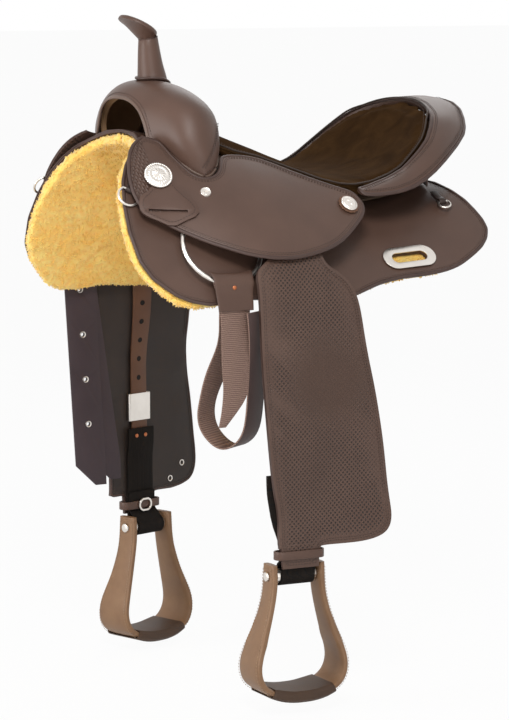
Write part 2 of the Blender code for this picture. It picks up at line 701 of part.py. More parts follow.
def mirrored(points, count):
    line = [Vector((x, -y, z)) for x, y, z in points[::-1]] + [Vector(p) for p in points[1:]]
    return curve_through(line, count)


ROLL_STEPS = 29
crown = mirrored(CROWN, ROLL_STEPS)
outer_line = mirrored(OUTER, ROLL_STEPS)
roll_rings = []
for i in range(ROLL_STEPS):
    along = crown[min(i + 1, ROLL_STEPS - 1)] - crown[max(i - 1, 0)]
    across = outer_line[i] - crown[i]
    up = across.cross(along).normalized()
    if up.z < 0:
        up = -up
    tip = min(1.0, 4.0 * min(i, ROLL_STEPS - 1 - i) / (ROLL_STEPS - 1) + 0.35)
    thick = ROLL_THICK * tip
    ring = []
    for share, rise in [(0.02, 0.0), (0.25, 0.75), (0.55, 1.0), (0.85, 0.6), (1.0, 0.0)]:
        ring.append(crown[i] + across * share + up * ROLL_CROWN * rise * tip)
    for share, fall in [(1.0, 0.45), (0.6, 1.0), (0.12, 1.0)]:
        ring.append(crown[i] + across * share - up * thick * fall)
    roll_rings.append(ring)
add_object("cantle_roll", loft_mesh("cantle_roll", roll_rings), "smooth_leather")

BOARD_HEAD = [(0.2200, 0.0, 0.1190), (0.2165, 0.035, 0.1140), (0.2080, 0.060, 0.1040),
              (0.1960, 0.078, 0.0900), (0.1840, 0.088, 0.0770)]
BOARD_STEPS = 13
board_top = []
board_low = []
back_top = []
back_low = []
for head in mirrored(BOARD_HEAD, BOARD_STEPS):
    foot_x = 0.172 - 3.0 * head.y ** 2
    foot = Vector((foot_x, head.y * 0.95, back_height(foot_x, head.y) + 0.022))
    foot.z = min(foot.z, head.z - 0.012)
    head_back = head + Vector((0.0120, 0, -0.0020))
    back_x = 0.205 - 1.8 * head.y ** 2
    foot_back = Vector((back_x, head.y, back_height(back_x, head.y) + 0.0015))
    foot_back.z = min(foot_back.z, head_back.z - 0.012)
    half = Vector((0.0050, 0, 0))
    skin = Vector((0.0014, 0, 0))
    board_top.append([head.lerp(foot, k / 3) + half for k in range(4)])
    board_low.append([head.lerp(foot, k / 3) - half for k in range(4)])
    back_top.append([head_back.lerp(foot_back, k / 3) + skin for k in range(4)])
    back_low.append([head_back.lerp(foot_back, k / 3) - skin for k in range(4)])
tree_cantle = add_object("tree_cantle", slab_mesh("tree_cantle", board_top, board_low), "tree_shell")
for tool in bar_tools:
    cut(tree_cantle, tool)
add_object("cantle_back", slab_mesh("cantle_back", back_top, back_low), "smooth_leather")

# Jockeys: pairs of (upper edge, lower edge) in plan, front to rear, round the foot of the swell

JOCKEY_PAIRS = [
    ((-0.2533, 0.0826), (-0.2590, 0.0793)),
    ((-0.2385, 0.0852), (-0.2795, 0.0880)),
    ((-0.2323, 0.0944), (-0.2926, 0.1005)),
    ((-0.2279, 0.1040), (-0.3005, 0.1190)),
    ((-0.2191, 0.1190), (-0.2971, 0.1379)),
    ((-0.2114, 0.1300), (-0.2747, 0.1564)),
    ((-0.2029, 0.1360), (-0.2457, 0.1770)),
    ((-0.1928, 0.1390), (-0.2183, 0.1965)),
    ((-0.1807, 0.1380), (-0.1907, 0.2130)),
    ((-0.1703, 0.1297), (-0.1720, 0.2213)),
    ((-0.1560, 0.1105), (-0.1487, 0.2279)),
    ((-0.1291, 0.1087), (-0.1250, 0.2304)),
    ((-0.1010, 0.1135), (-0.1000, 0.2295)),
    ((-0.0619, 0.1330), (-0.0620, 0.2245)),
    ((-0.0300, 0.1455), (-0.0306, 0.2165)),
    ((-0.0047, 0.1540), (0.0012, 0.2015)),
    ((0.0149, 0.1600), (0.0220, 0.1880)),
    ((0.0225, 0.1655), (0.0275, 0.1760)),
]
JOCKEY_STEPS = 6
upper_line = curve_through([(*a, 0) for a, b in JOCKEY_PAIRS], 35)
lower_line = curve_through([(*b, 0) for a, b in JOCKEY_PAIRS], 35)
CONCHO_PLACE = (-0.2605, 0.1226)
REAR_CONCHO_PLACE = (0.0005, 0.1800)
KEEPER_ROWS = [
    ((-0.2719, 0.1108), (-0.2487, 0.1161)), ((-0.2740, 0.1181), (-0.2433, 0.1261)),
    ((-0.2721, 0.1275), (-0.2428, 0.1345)), ((-0.2814, 0.1312), (-0.2359, 0.1447)),
    ((-0.2942, 0.1331), (-0.2273, 0.1552)), ((-0.2986, 0.1418), (-0.2230, 0.1641)),
    ((-0.2929, 0.1481), (-0.2268, 0.1697)), ((-0.2781, 0.1558), (-0.2445, 0.1678)),
    ((-0.2675, 0.1625), (-0.2567, 0.1665)),
]
SLOT_ENDS = ((-0.2850, 0.1433), (-0.2386, 0.1595))

for side_name, side in SIDES.items():
    top = []
    low = []
    for a, b in zip(upper_line, lower_line):
        spots = [a.lerp(b, j / JOCKEY_STEPS) for j in range(JOCKEY_STEPS + 1)]
        top.append([on_surface(jockey_height, p.x, side * p.y, 0.0) for p in spots])
        low.append([on_surface(jockey_height, p.x, side * p.y, -JOCKEY_THICK) for p in spots])
    add_object("jockey_" + side_name, slab_mesh("jockey", top, low), "smooth_leather")

    # Slotted keeper that hangs under the front concho
    left_line = curve_through([(*a, 0) for a, b in KEEPER_ROWS], 15)
    right_line = curve_through([(*b, 0) for a, b in KEEPER_ROWS], 15)
    top = []
    low = []
    for a, b in zip(left_line, right_line):
        spots = [a.lerp(b, j / 4) for j in range(5)]
        top.append([on_surface(jockey_height, p.x, side * p.y, GAP + KEEPER_THICK) for p in spots])
        low.append([on_surface(jockey_height, p.x, side * p.y, GAP) for p in spots])
    keeper = add_object("concho_keeper_" + side_name, slab_mesh("concho_keeper", top, low), "smooth_leather")
    ends = [on_surface(jockey_height, x, side * y, GAP + KEEPER_THICK / 2) for x, y in SLOT_ENDS]
    middle = (ends[0] + ends[1]) / 2
    out = surface_normal(jockey_height, middle.x, middle.y)
    along = (ends[1] - ends[0]).normalized()
    turn = Matrix((along, out.cross(along), out)).transposed().to_4x4()
    place = Matrix.Translation(on_surface(jockey_height, middle.x, middle.y, GAP + KEEPER_THICK / 2)) @ turn
    cut(keeper, cutter_box("keeper_tool_" + side_name, place,
                           (KEEPER_SLOT_LENGTH, KEEPER_SLOT_HEIGHT, 4 * KEEPER_THICK)))

    # Conchos
    frame = surface_frame(jockey_height, CONCHO_PLACE[0], side * CONCHO_PLACE[1],
                          2 * GAP + KEEPER_THICK + 0.0012)
    add_object("front_concho_" + side_name, turned_mesh("front_concho", [
        (0.0040, 0.0), (CONCHO_RADIUS, 0.0), (CONCHO_RADIUS, 0.0012), (0.0165, 0.0022),
        (0.0150, 0.0022), (0.0120, 0.0036), (0.0060, 0.0046), (0.0020, 0.0048)], frame, 24), "steel")
    frame = surface_frame(jockey_height, REAR_CONCHO_PLACE[0], side * REAR_CONCHO_PLACE[1], 0.0012)
    add_object("rear_rosette_" + side_name, turned_mesh("rear_rosette", [
        (0.0040, 0.0), (ROSETTE_RADIUS, 0.0), (ROSETTE_RADIUS, 0.0020), (0.0040, 0.0024)],
        frame, 28, scallop=-0.08), "strap_brown")
    frame = surface_frame(jockey_height, REAR_CONCHO_PLACE[0], side * REAR_CONCHO_PLACE[1], 0.0012 + 0.0024 + GAP)
    add_object("rear_concho_" + side_name, turned_mesh("rear_concho", [
        (0.0030, 0.0), (REAR_CONCHO_RADIUS, 0.0), (REAR_CONCHO_RADIUS, 0.0010), (0.0085, 0.0024),
        (0.0040, 0.0032), (0.0015, 0.0033)], frame, 20), "steel")

# Breast collar dees on the front of the skirts, each held by a folded tab

DEE_PLACE = (-0.3035, 0.1190)
DEE_LIFT = 0.0038
DEE_TAB_THICK = 0.0012
REAR_TAB_PLACE = (0.1853, 0.1199)
REAR_TAB_WIDTH = 0.0100
REAR_TAB_THICK = 0.0014
RING_PLACE = (-0.1975, 0.1762)
RING_LIFT = 0.0078
RING_EYE = RING_WIRE + GAP + STRAP_THICK / 2


def sagitta(width, radius=RING_RADIUS):
    """Rise of a ring's wire across half the width of a strap."""
    return width ** 2 / (8 * radius)


ring_frames = {}
for side_name, side in SIDES.items():
    base = surface_frame(back_height, DEE_PLACE[0], side * DEE_PLACE[1], DEE_LIFT)
    frame = base @ Matrix.Rotation(math.radians(38.0) * side, 4, "Z")
    away = (frame.to_3x3() @ Vector((0, 1, 0))).normalized()
    local_x = (frame.to_3x3() @ Vector((1, 0, 0))).normalized()
    lift_dir = (frame.to_3x3() @ Vector((0, 0, 1))).normalized()
    eye = frame.to_translation() - away * DEE_RADIUS * 0.65
    add_object("front_dee_" + side_name, wire_ring_mesh("front_dee", frame, DEE_RADIUS, DEE_WIRE, 20, 6, flat=0.35),
               "steel", eye)
    into = (-away - lift_dir * 0.04).normalized()
    rise = (lift_dir - away * 0.04).normalized()
    path = eye_path(eye, into, rise, DEE_WIRE + GAP + DEE_TAB_THICK / 2, 0.0230, 0.0210, DEE_TAB_THICK)
    add_object("front_tab_" + side_name, strip_mesh("front_tab", path, 0.015, DEE_TAB_THICK, local_x), "binding")

    # Rear tab and small ring beside the cantle
    frame = surface_frame(back_height, REAR_TAB_PLACE[0], side * REAR_TAB_PLACE[1], 0.0040)
    away = (frame.to_3x3() @ Vector((0, 1, 0))).normalized()
    lift_dir = (frame.to_3x3() @ Vector((0, 0, 1))).normalized()
    local_x = (frame.to_3x3() @ Vector((1, 0, 0))).normalized()
    ring_frame = frame @ Matrix.Translation((0, REAR_RING_RADIUS + 0.0130, 0))
    eye = ring_frame.to_translation() - away * REAR_RING_RADIUS
    add_object("rear_ring_" + side_name, wire_ring_mesh(
        "rear_ring", ring_frame, REAR_RING_RADIUS, REAR_RING_WIRE, 16, 6), "steel", eye)
    eye_radius = REAR_RING_WIRE + 2 * GAP + REAR_TAB_THICK / 2
    path = eye_path(eye, -away, lift_dir, eye_radius, 0.0240, 0.0210, REAR_TAB_THICK,
                    sagitta(REAR_TAB_WIDTH, REAR_RING_RADIUS))
    add_object("rear_tab_" + side_name, strip_mesh("rear_tab", path, REAR_TAB_WIDTH, REAR_TAB_THICK, local_x),
               "billet_leather")

    # Rigging ring in its folded strap
    frame = surface_frame(back_height, RING_PLACE[0], side * RING_PLACE[1], RING_LIFT)
    ring_frames[side_name] = frame
    away = (frame.to_3x3() @ Vector((0, 1, 0))).normalized()
    lift_dir = (frame.to_3x3() @ Vector((0, 0, 1))).normalized()
    rear = (frame.to_3x3() @ Vector((1, 0, 0))).normalized()
    eye = frame.to_translation() - away * RING_RADIUS
    add_object("rigging_ring_" + side_name, wire_ring_mesh(
        "rigging_ring", frame, RING_RADIUS, RING_WIRE, 32, 8), "steel", eye)
    path = eye_path(eye, -away, lift_dir, RING_EYE, 0.026, 0.014, STRAP_THICK, sagitta(RIG_WIDTH))
    add_object("rigging_strap_" + side_name, strip_mesh("rigging_strap", path, RIG_WIDTH, STRAP_THICK, rear),
               "billet_leather")


def ring_lowest(side_name):
    """Lowest point of a rigging ring's wire, level direction along it and way up in its plane."""
    frame = ring_frames[side_name]
    normal = (frame.to_3x3() @ Vector((0, 0, 1))).normalized()
    down = (Vector((0, 0, -1)) + normal.z * normal).normalized()
    along = Vector((abs(normal.y), -math.copysign(normal.x, normal.x * normal.y), 0)).normalized()
    return frame.to_translation() + down * RING_RADIUS, along, -down


def ring_turn(eye, along, up, side, width):
    """Turn of a strap over the wire at the ring's lowest point, inner side first."""
    level = Vector((0, 0, 1)).cross(along) * side
    away = (level * RUN_FLARE - Vector((0, 0, 1))).normalized()
    out = (level + Vector((0, 0, RUN_FLARE))).normalized()
    turn = []
    for k in range(9):
        angle = math.radians(-135.0 + 270.0 * k / 8)
        spot = eye + (RING_EYE + GAP) * (-math.cos(angle) * away + math.sin(angle) * out)
        turn.append(spot + up * sagitta(width) if abs(angle) < math.radians(100.0) else spot)
    return turn


def strap_across(point, eye, along):
    """Direction across a strap: along the ring's wire at the top, level with X lower down."""
    share = min(1.0, max(0.0, (eye.z - point.z) / RUN_CLEAR))
    return along.lerp(Vector((1, 0, 0)), share).normalized()


HALF_RUN = STRAP_THICK / 2 + GAP / 2

# Tie strap on the left ring: short front end with a slanted tip, over the ring, then down behind
# into a hanging loop whose end comes back up behind the front end

eye, along, up = ring_lowest("left")
out = Vector((0, LEFT, 0))
front_run = hanging_run(eye, out, 0.0, HALF_RUN, [0.150, 0.120, 0.090, 0.050, 0.033, 0.013])
front_run = [front_run[0] + Vector((-0.020, 0, -0.038))] + front_run
front_run[3] = front_run[3] - out * RUN_BOW
back_run = hanging_run(eye, out, 0.0, -HALF_RUN, [0.013, 0.033, 0.045])
LOOP_SPAN = Vector((0.52, -0.85, 0))
LOOP_ACROSS = Vector((0.85, 0.52, 0))
LOOP_SHAPE = [(0.010, -0.171), (-0.0074, -0.210), (-0.021, -0.248), (-0.0245, -0.272), (-0.018, -0.292),
              (0.0, -0.3085), (0.018, -0.3113), (0.036, -0.300), (0.0464, -0.2787), (0.0505, -0.240),
              (0.0515, -0.202), (0.048, -0.160), (0.042, -0.126)]
tie_points = front_run + ring_turn(eye, along, up, LEFT, TIE_WIDTH)[::-1] + back_run
plain = len(tie_points)
for reach, height in LOOP_SHAPE:
    share = min(1.0, (-0.125 - height) / 0.090)
    middle = Vector((eye.x + 0.008, -0.188, 0)).lerp(Vector((eye.x + 0.016, -0.160, 0)), share)
    tie_points.append(middle + LOOP_SPAN * reach + Vector((0, 0, height)))
TIE_STEPS = 2
tie_path = curve_through(tie_points, TIE_STEPS * (len(tie_points) - 1) + 1)
tie_widths = []
tie_dirs = []
for i in range(len(tie_path)):
    knot = i / TIE_STEPS
    turn = min(1.0, max(0.0, (knot - plain + 1) / 3.0))
    tie_dirs.append(strap_across(tie_path[i], eye, along).lerp(LOOP_ACROSS, turn).normalized())
    front_width = 0.22 + 0.58 * knot if knot < 1.0 else 0.80 + 0.20 * (knot - 1) / 5
    tie_widths.append(TIE_WIDTH * min(1.0, front_width))
add_object("tie_strap", strip_mesh("tie_strap", tie_path, tie_widths, STRAP_THICK, tie_dirs), "webbing", eye)

# Leather cuff over the strap's turn on the ring, bowed to the ring and narrower at its lower end

CUFF_THICK = 0.0020
CUFF_WIDTHS = (0.0600, 0.0520)
CUFF_DEPTHS = [0.013, 0.024, 0.036]
cuff_out = STRAP_THICK / 2 + 2 * GAP
cuff_turn = ring_turn(eye, along, up, LEFT, TIE_WIDTH)[4:]
cuff_run = hanging_run(eye, out, 0.0, HALF_RUN, CUFF_DEPTHS)
cuff_path = cuff_turn + cuff_run
cuff_low = []
cuff_high = []
for i, point in enumerate(cuff_path):
    before = cuff_path[max(i - 1, 0)]
    after = cuff_path[min(i + 1, len(cuff_path) - 1)]
    across = strap_across(point, eye, along)
    normal = across.cross(after - before).normalized()
    if normal.dot(point - eye - Vector((0, LEFT, 0)) * -0.002) < 0 and i < len(cuff_turn):
        normal = -normal
    if i >= len(cuff_turn) and normal.y > 0:
        normal = -normal
    share = i / (len(cuff_path) - 1)
    half = 0.5 * (CUFF_WIDTHS[0] + (CUFF_WIDTHS[1] - CUFF_WIDTHS[0]) * share)
    bow = max(0.0, 1.0 - 2.0 * share)
    low_line = []
    high_line = []
    for j in range(7):
        v = (2 * j / 6 - 1) * half
        spot = point + across * v + up * bow * max(0.0, v * v / (2 * RING_RADIUS) - sagitta(TIE_WIDTH))
        low_line.append(spot + normal * cuff_out)
        high_line.append(spot + normal * (cuff_out + CUFF_THICK))
    cuff_low.append(low_line)
    cuff_high.append(high_line)
add_object("tie_keeper", slab_mesh("tie_keeper", cuff_high, cuff_low), "smooth_leather", eye)

# Off billet on the right ring: folded over the wire, the outer run splayed to the rear

eye, along, up = ring_lowest("right")
out = Vector((0, RIGHT, 0))
inner_run = hanging_run(eye, out, 0.063, -HALF_RUN, [0.302, 0.230, 0.160, 0.090, 0.033, 0.012])
outer_run = hanging_run(eye, out, 0.150, HALF_RUN, [0.012, 0.033, 0.090, 0.160, 0.230, 0.296])
tip = Vector((0.0165, 0, -0.030))
billet_path = [inner_run[0] + tip] + inner_run + ring_turn(eye, along, up, RIGHT, BILLET_WIDTH)
billet_path += outer_run + [outer_run[-1] + tip]
billet_dirs = [strap_across(p, eye, along) for p in billet_path]
billet_widths = [BILLET_WIDTH] * len(billet_path)
billet_widths[0] = BILLET_WIDTH * 0.36
billet_widths[-1] = BILLET_WIDTH * 0.36
billet = add_object("off_billet", strip_mesh("off_billet", billet_path, billet_widths, STRAP_THICK,
                                             billet_dirs), "billet_leather", eye)
for k in range(BILLET_HOLE_COUNT):
    depth = 0.047 + BILLET_HOLE_PITCH * k
    inner_spot = hanging_run(eye, out, 0.063, 0.0, [depth])[0]
    hole_rings = [circle(inner_spot + Vector((0, y, 0)), Vector((1, 0, 0)), Vector((0, 0, 1)),
                         BILLET_HOLE_RADIUS, 10) for y in (-0.008, 0.008)]
    cut(billet, cutter("billet_tool_%d" % (k + 1), loft_mesh("billet_tool", hole_rings)))

# Fenders and stirrup leathers: |y| falls away with depth below the bar, then hangs plumb

DRAPE = [(-0.130, FENDER_PLANE), (-0.120, FENDER_PLANE), (-0.100, FENDER_PLANE - 0.0010),
         (-0.080, 0.2270), (-0.060, 0.2180), (-0.040, 0.2045), (-0.020, 0.1855), (0.000, 0.1615)]
FENDER_ROWS = [
    (-0.0300, -0.1150, -0.0700), (-0.0480, -0.1290, -0.0660), (-0.0640, -0.1560, -0.0640),
    (-0.0740, -0.1690, -0.0560),
    (-0.0870, -0.1705, -0.0350), (-0.1160, -0.1688, -0.0160), (-0.1820, -0.1660, -0.0036),
    (-0.2400, -0.1610, 0.0110), (-0.3100, -0.1540, 0.0240), (-0.3600, -0.1480, 0.0300),
    (-0.3990, -0.1400, 0.0350), (-0.4200, -0.1390, 0.0330), (-0.4360, -0.1385, 0.0220),
    (-0.4440, -0.1380, -0.0100),
]
NECK_ROWS = [(-0.4440, 0.0320, 0.0420), (-0.4465, 0.0290, 0.0290), (-0.4720, 0.0270, 0.0270)]
LEATHER_LINE = {
    LEFT: [(-0.46, -0.1055), (-0.44, -0.1130), (-0.40, -0.1235), (-0.35, -0.1275), (-0.25, -0.1200),
           (-0.12, -0.1050), (-0.02, -0.0945)],
    RIGHT: [(-0.46, -0.0840), (-0.38, -0.0850), (-0.30, -0.0860), (-0.24, -0.0882), (-0.12, -0.0930),
            (-0.02, -0.0930)],
}
# Turn of each panel about a plumb line: place of the line, angle, height where it starts and ends
TURNS = {
    LEFT: (STIRRUP_X[LEFT], math.radians(-4.0), -0.380, -0.434),
    RIGHT: (-0.1700, math.radians(15.0), -0.135, -0.260),
}


FENDER_STEPS = 5
FENDER_PIVOT_X = {LEFT: -0.0949, RIGHT: -0.0846}
FENDER_PIVOT_Y = 0.1300
FENDER_PIVOT_Z = 0.0200
LEATHER_INSET = FENDER_THICK / 2 + GAP + KEEPER_STEEL + GAP + LEATHER_THICK / 2
TURN_RADIUS = ROLLER_RADIUS + GAP + LEATHER_THICK / 2
BOLT_Y = FENDER_PLANE - LEATHER_INSET - TURN_RADIUS
HOBBLE_INNER = LEATHER_INSET + LEATHER_THICK * 1.5 + GAP
HOBBLE_ROOM = FENDER_THICK / 2 + HOBBLE_INNER + 5 * GAP


def drape(z):
    return smooth_table(DRAPE, z)


def twist(point, side):
    """Turn of the hanging panel and the stirrup about their plumb line."""
    line_x, angle, start, end = TURNS[side]
    t = min(1.0, max(0.0, (start - point.z) / (start - end)))
    centre = Vector((line_x, side * FENDER_PLANE, 0))
    return centre + Matrix.Rotation(angle * t * t * (3 - 2 * t), 3, "Z") @ (point - centre)


def drape_normal(z, side):
    slope = (drape(z + 0.002) - drape(z - 0.002)) / 0.004
    return Vector((0, side, -slope)).normalized()


def twist_dir(point, side):
    """Direction across a strap of the turned panel at a point that is already turned."""
    line_x, angle, start, end = TURNS[side]
    t = min(1.0, max(0.0, (start - point.z) / (start - end)))
    return Matrix.Rotation(angle * t * t * (3 - 2 * t), 3, "Z") @ Vector((1, 0, 0))


for side_name, side in SIDES.items():
    top = []
    low = []
    pivot = Vector((FENDER_PIVOT_X[side], side * FENDER_PIVOT_Y, FENDER_PIVOT_Z))
    stirrup_x = STIRRUP_X[side]
    rows = FENDER_ROWS + [(z, stirrup_x - left, stirrup_x + right) for z, left, right in NECK_ROWS]
    for left, right, z in curve_through([Vector((left, right, z)) for z, left, right in rows], 29):
        normal = drape_normal(z, side)
        line_top = []
        line_low = []
        for j in range(FENDER_STEPS + 1):
            point = Vector((left + (right - left) * j / FENDER_STEPS, side * drape(z), z))
            line_top.append(twist(point + normal * FENDER_THICK / 2, side))
            line_low.append(twist(point - normal * FENDER_THICK / 2, side))
        top.append(line_top)
        low.append(line_low)
    add_object("fender_" + side_name, slab_mesh("fender", top, low), "stamped_leather", pivot)

    # Stirrup leather inside the fender: over the bar, down, round the bolt roller
    inset = LEATHER_INSET
    leather_line = LEATHER_LINE[side]
    path = []
    for z in [-0.030, -0.045, -0.060, -0.080, -0.100, -0.120, -0.150, -0.180, -0.210, -0.240, -0.270, -0.320, -0.370]:
        x = smooth_table(leather_line, z)
        path.append(twist(Vector((x, side * drape(z), z)) - drape_normal(z, side) * inset, side))
    dirs = [twist_dir(p, side) for p in path]
    add_object("stirrup_leather_" + side_name, strip_mesh(
        "stirrup_leather", path, LEATHER_WIDTH, LEATHER_THICK, dirs), "strap_brown", pivot)

    # Lower leather: from the buckle down to the stirrup, folded round the roller
    plane = side * (FENDER_PLANE - inset)
    behind = plane - side * (LEATHER_THICK + GAP)
    lower = [Vector((smooth_table(leather_line, z), behind, z)) for z in (-0.3460, -0.3720)]
    lower += [Vector((smooth_table(leather_line, z), plane, z)) for z in (-0.3860, -0.4150)]
    bolt_centre = Vector((stirrup_x, side * BOLT_Y, BOLT_Z[side]))
    lower += [Vector((stirrup_x, plane, BOLT_Z[side] + rise)) for rise in (0.0390, 0.0200)]
    for k in range(9):
        angle = math.radians(90.0 + 220.0 * k / 8)
        lower.append(bolt_centre + TURN_RADIUS * Vector((0, side * math.sin(angle), math.cos(angle))))
    lower.append(Vector((stirrup_x, behind, BOLT_Z[side] + 0.0215)))
    lower.append(Vector((stirrup_x, behind, BOLT_Z[side] + 0.0490)))
    lower = [twist(p, side) for p in lower]
    dirs = [twist_dir(p, side) for p in lower]
    add_object("leather_sleeve_" + side_name, strip_mesh(
        "leather_sleeve", lower, NECK_WIDTH, LEATHER_THICK, dirs), "sleeve_black", pivot)

    # Flat steel keeper that slides on the leather over the joint with the sleeve
    rings = []
    for extra, z in [(0.0, 0.0200), (0.0, -0.0200), (KEEPER_STEEL, -0.0200), (KEEPER_STEEL, 0.0200)]:
        ring = []
        for p in rounded_slot(LEATHER_WIDTH + 0.0110 + 2 * extra, LEATHER_THICK + 2 * GAP + 2 * extra, 16):
            spot = Vector((smooth_table(leather_line, -0.3150) + p.x, plane + p.y, -0.3150 + z))
            ring.append(twist(spot, side))
        rings.append(ring)
    add_object("leather_keeper_" + side_name, loft_mesh("leather_keeper", rings, closed=True), "steel", pivot)

    # Hobble strap round the neck, with its buckle on the inner face
    hobble_mid = side * (FENDER_PLANE + FENDER_THICK / 4 - HOBBLE_INNER / 2)
    rings = []
    hobble_z = BOLT_Z[side] + HOBBLE_RISE
    for depth, z in [(0.0, 0.5), (0.0, -0.5), (HOBBLE_WALL, -0.5), (HOBBLE_WALL, 0.5)]:
        ring = []
        for p in rounded_slot(0.0690 + 2 * depth, HOBBLE_ROOM + 2 * depth, 20):
            ring.append(twist(Vector((stirrup_x + p.x, hobble_mid + p.y, hobble_z + z * HOBBLE_HEIGHT)), side))
        rings.append(ring)
    add_object("hobble_strap_" + side_name, loft_mesh("hobble_strap", rings, closed=True), "billet_leather", pivot)
    buckle_y = hobble_mid - side * (HOBBLE_ROOM / 2 + HOBBLE_WALL + 2 * GAP + 0.0012)
    spot = Vector((stirrup_x, buckle_y, hobble_z))
    across = twist_dir(spot, side)
    facing = Vector((0, 0, 1)).cross(across)
    frame = Matrix((across, Vector((0, 0, 1)), -facing)).transposed().to_4x4()
    frame = Matrix.Translation(twist(spot, side)) @ frame
    outer = rounded_slot(0.0260, 0.0200, 12)
    inner = rounded_slot(0.0200, 0.0140, 12)
    low_face = Vector((0, 0, -0.0012))
    high_face = Vector((0, 0, 0.0012))
    section = [[p + low_face for p in outer], [p + high_face for p in outer],
               [p + high_face for p in inner], [p + low_face for p in inner]]
    rings = [[frame @ loop[k] for loop in section] for k in range(12)]
    add_object("hobble_buckle_" + side_name, loft_mesh("hobble_buckle", rings, closed=True), "steel", pivot)

# Stirrups: a bent band that flares from the ears to the tread, with the bolt, roller and tread pad

STIRRUP_LINE = [(-EAR_REACH, 0.0160), (-EAR_REACH, -0.0100), (-0.0392, -0.0360), (-0.0495, -0.0720),
                (-0.0610, -0.1020), (-0.0650, -0.1220), (-0.0605, -0.1405), (-0.0460, -0.1535),
                (-0.0200, -0.1600), (0.0, -0.1610)]
STIRRUP_DEPTHS = [0.0145, 0.0160, 0.0165, 0.0205, 0.0265, 0.0285, 0.0300, 0.0315, 0.0320, 0.0320]
TREAD_REACH = 4            # path steps each side of the middle that the tread cover wraps


def band_section(place, point, along, half, thick, bevel):
    """Eight corner section of the bent band, with its edges eased."""
    inside = Vector((-along.z, 0, along.x))
    centre = Vector((point.x, 0, point.z))
    corners = [(-half, 0.5), (-half + bevel, 1.0), (half - bevel, 1.0), (half, 0.5),
               (half, -0.5), (half - bevel, -1.0), (-half + bevel, -1.0), (-half, -0.5)]
    return [place @ (centre + Vector((0, a, 0)) + inside * (b * thick / 2)) for a, b in corners]


for side_name, side in SIDES.items():
    place = Matrix.Translation(twist(Vector((STIRRUP_X[side], side * BOLT_Y, BOLT_Z[side])), side))
    place = place @ Matrix.Rotation(TURNS[side][1], 4, "Z")
    line = [(u, z, d) for (u, z), d in zip(STIRRUP_LINE, STIRRUP_DEPTHS)]
    line += [(-u, z, d) for u, z, d in line[-2::-1]]
    path = curve_through([Vector((u, d, z)) for u, z, d in line], 37)
    middle = len(path) // 2
    bolt = place.to_translation()
    band_rings = []
    outer_rings = []
    inner_rings = []
    for i, point in enumerate(path):
        before = path[max(i - 1, 0)]
        after = path[min(i + 1, len(path) - 1)]
        along = Vector((after.x - before.x, 0, after.z - before.z)).normalized()
        band_rings.append(band_section(place, point, along, point.y, STIRRUP_THICK, 0.0030))
        if abs(i - middle) <= TREAD_REACH:
            wall = TREAD_THICK if abs(i - middle) < TREAD_REACH else TREAD_THICK * 0.5
            inner_rings.append(band_section(place, point, along, point.y + GAP, STIRRUP_THICK + 2 * GAP, 0.0030))
            outer_rings.append(band_section(place, point, along, point.y + GAP + wall,
                                            STIRRUP_THICK + 2 * GAP + 2 * wall, 0.0040))
    stirrup = add_object("stirrup_" + side_name, loft_mesh("stirrup", band_rings), "stirrup_brown", bolt)
    add_object("tread_" + side_name, loft_mesh("tread", outer_rings + inner_rings[::-1], closed=True),
               "tread_rubber", bolt)
    hole = [circle(place @ Vector((u, 0, 0)), place.to_3x3() @ Vector((0, 1, 0)), Vector((0, 0, 1)),
                   BOLT_RADIUS + GAP, 12) for u in (-0.060, 0.060)]
    cut(stirrup, cutter("bolt_tool_" + side_name, loft_mesh("bolt_tool", hole)))
    head = STIRRUP_THICK / 2 + EAR_REACH + GAP
    half_roller = EAR_REACH - STIRRUP_THICK / 2 - 2 * GAP
    profile = [(0.0030, -head - 0.0030), (0.0062, -head - 0.0022), (0.0070, -head), (BOLT_RADIUS, -head),
               (BOLT_RADIUS, -half_roller), (ROLLER_RADIUS, -half_roller), (ROLLER_RADIUS, half_roller),
               (BOLT_RADIUS, half_roller), (BOLT_RADIUS, head), (0.0070, head), (0.0062, head + 0.0022),
               (0.0030, head + 0.0030)]
    sideways = Matrix.Rotation(math.radians(90.0), 4, "Y")
    add_object("stirrup_bolt_" + side_name, turned_mesh("stirrup_bolt", profile, place @ sideways, 12), "steel", bolt)
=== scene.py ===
import json
import math

import bmesh
import bpy
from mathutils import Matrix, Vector, noise
from mathutils.bvhtree import BVHTree
from mathutils.kdtree import KDTree

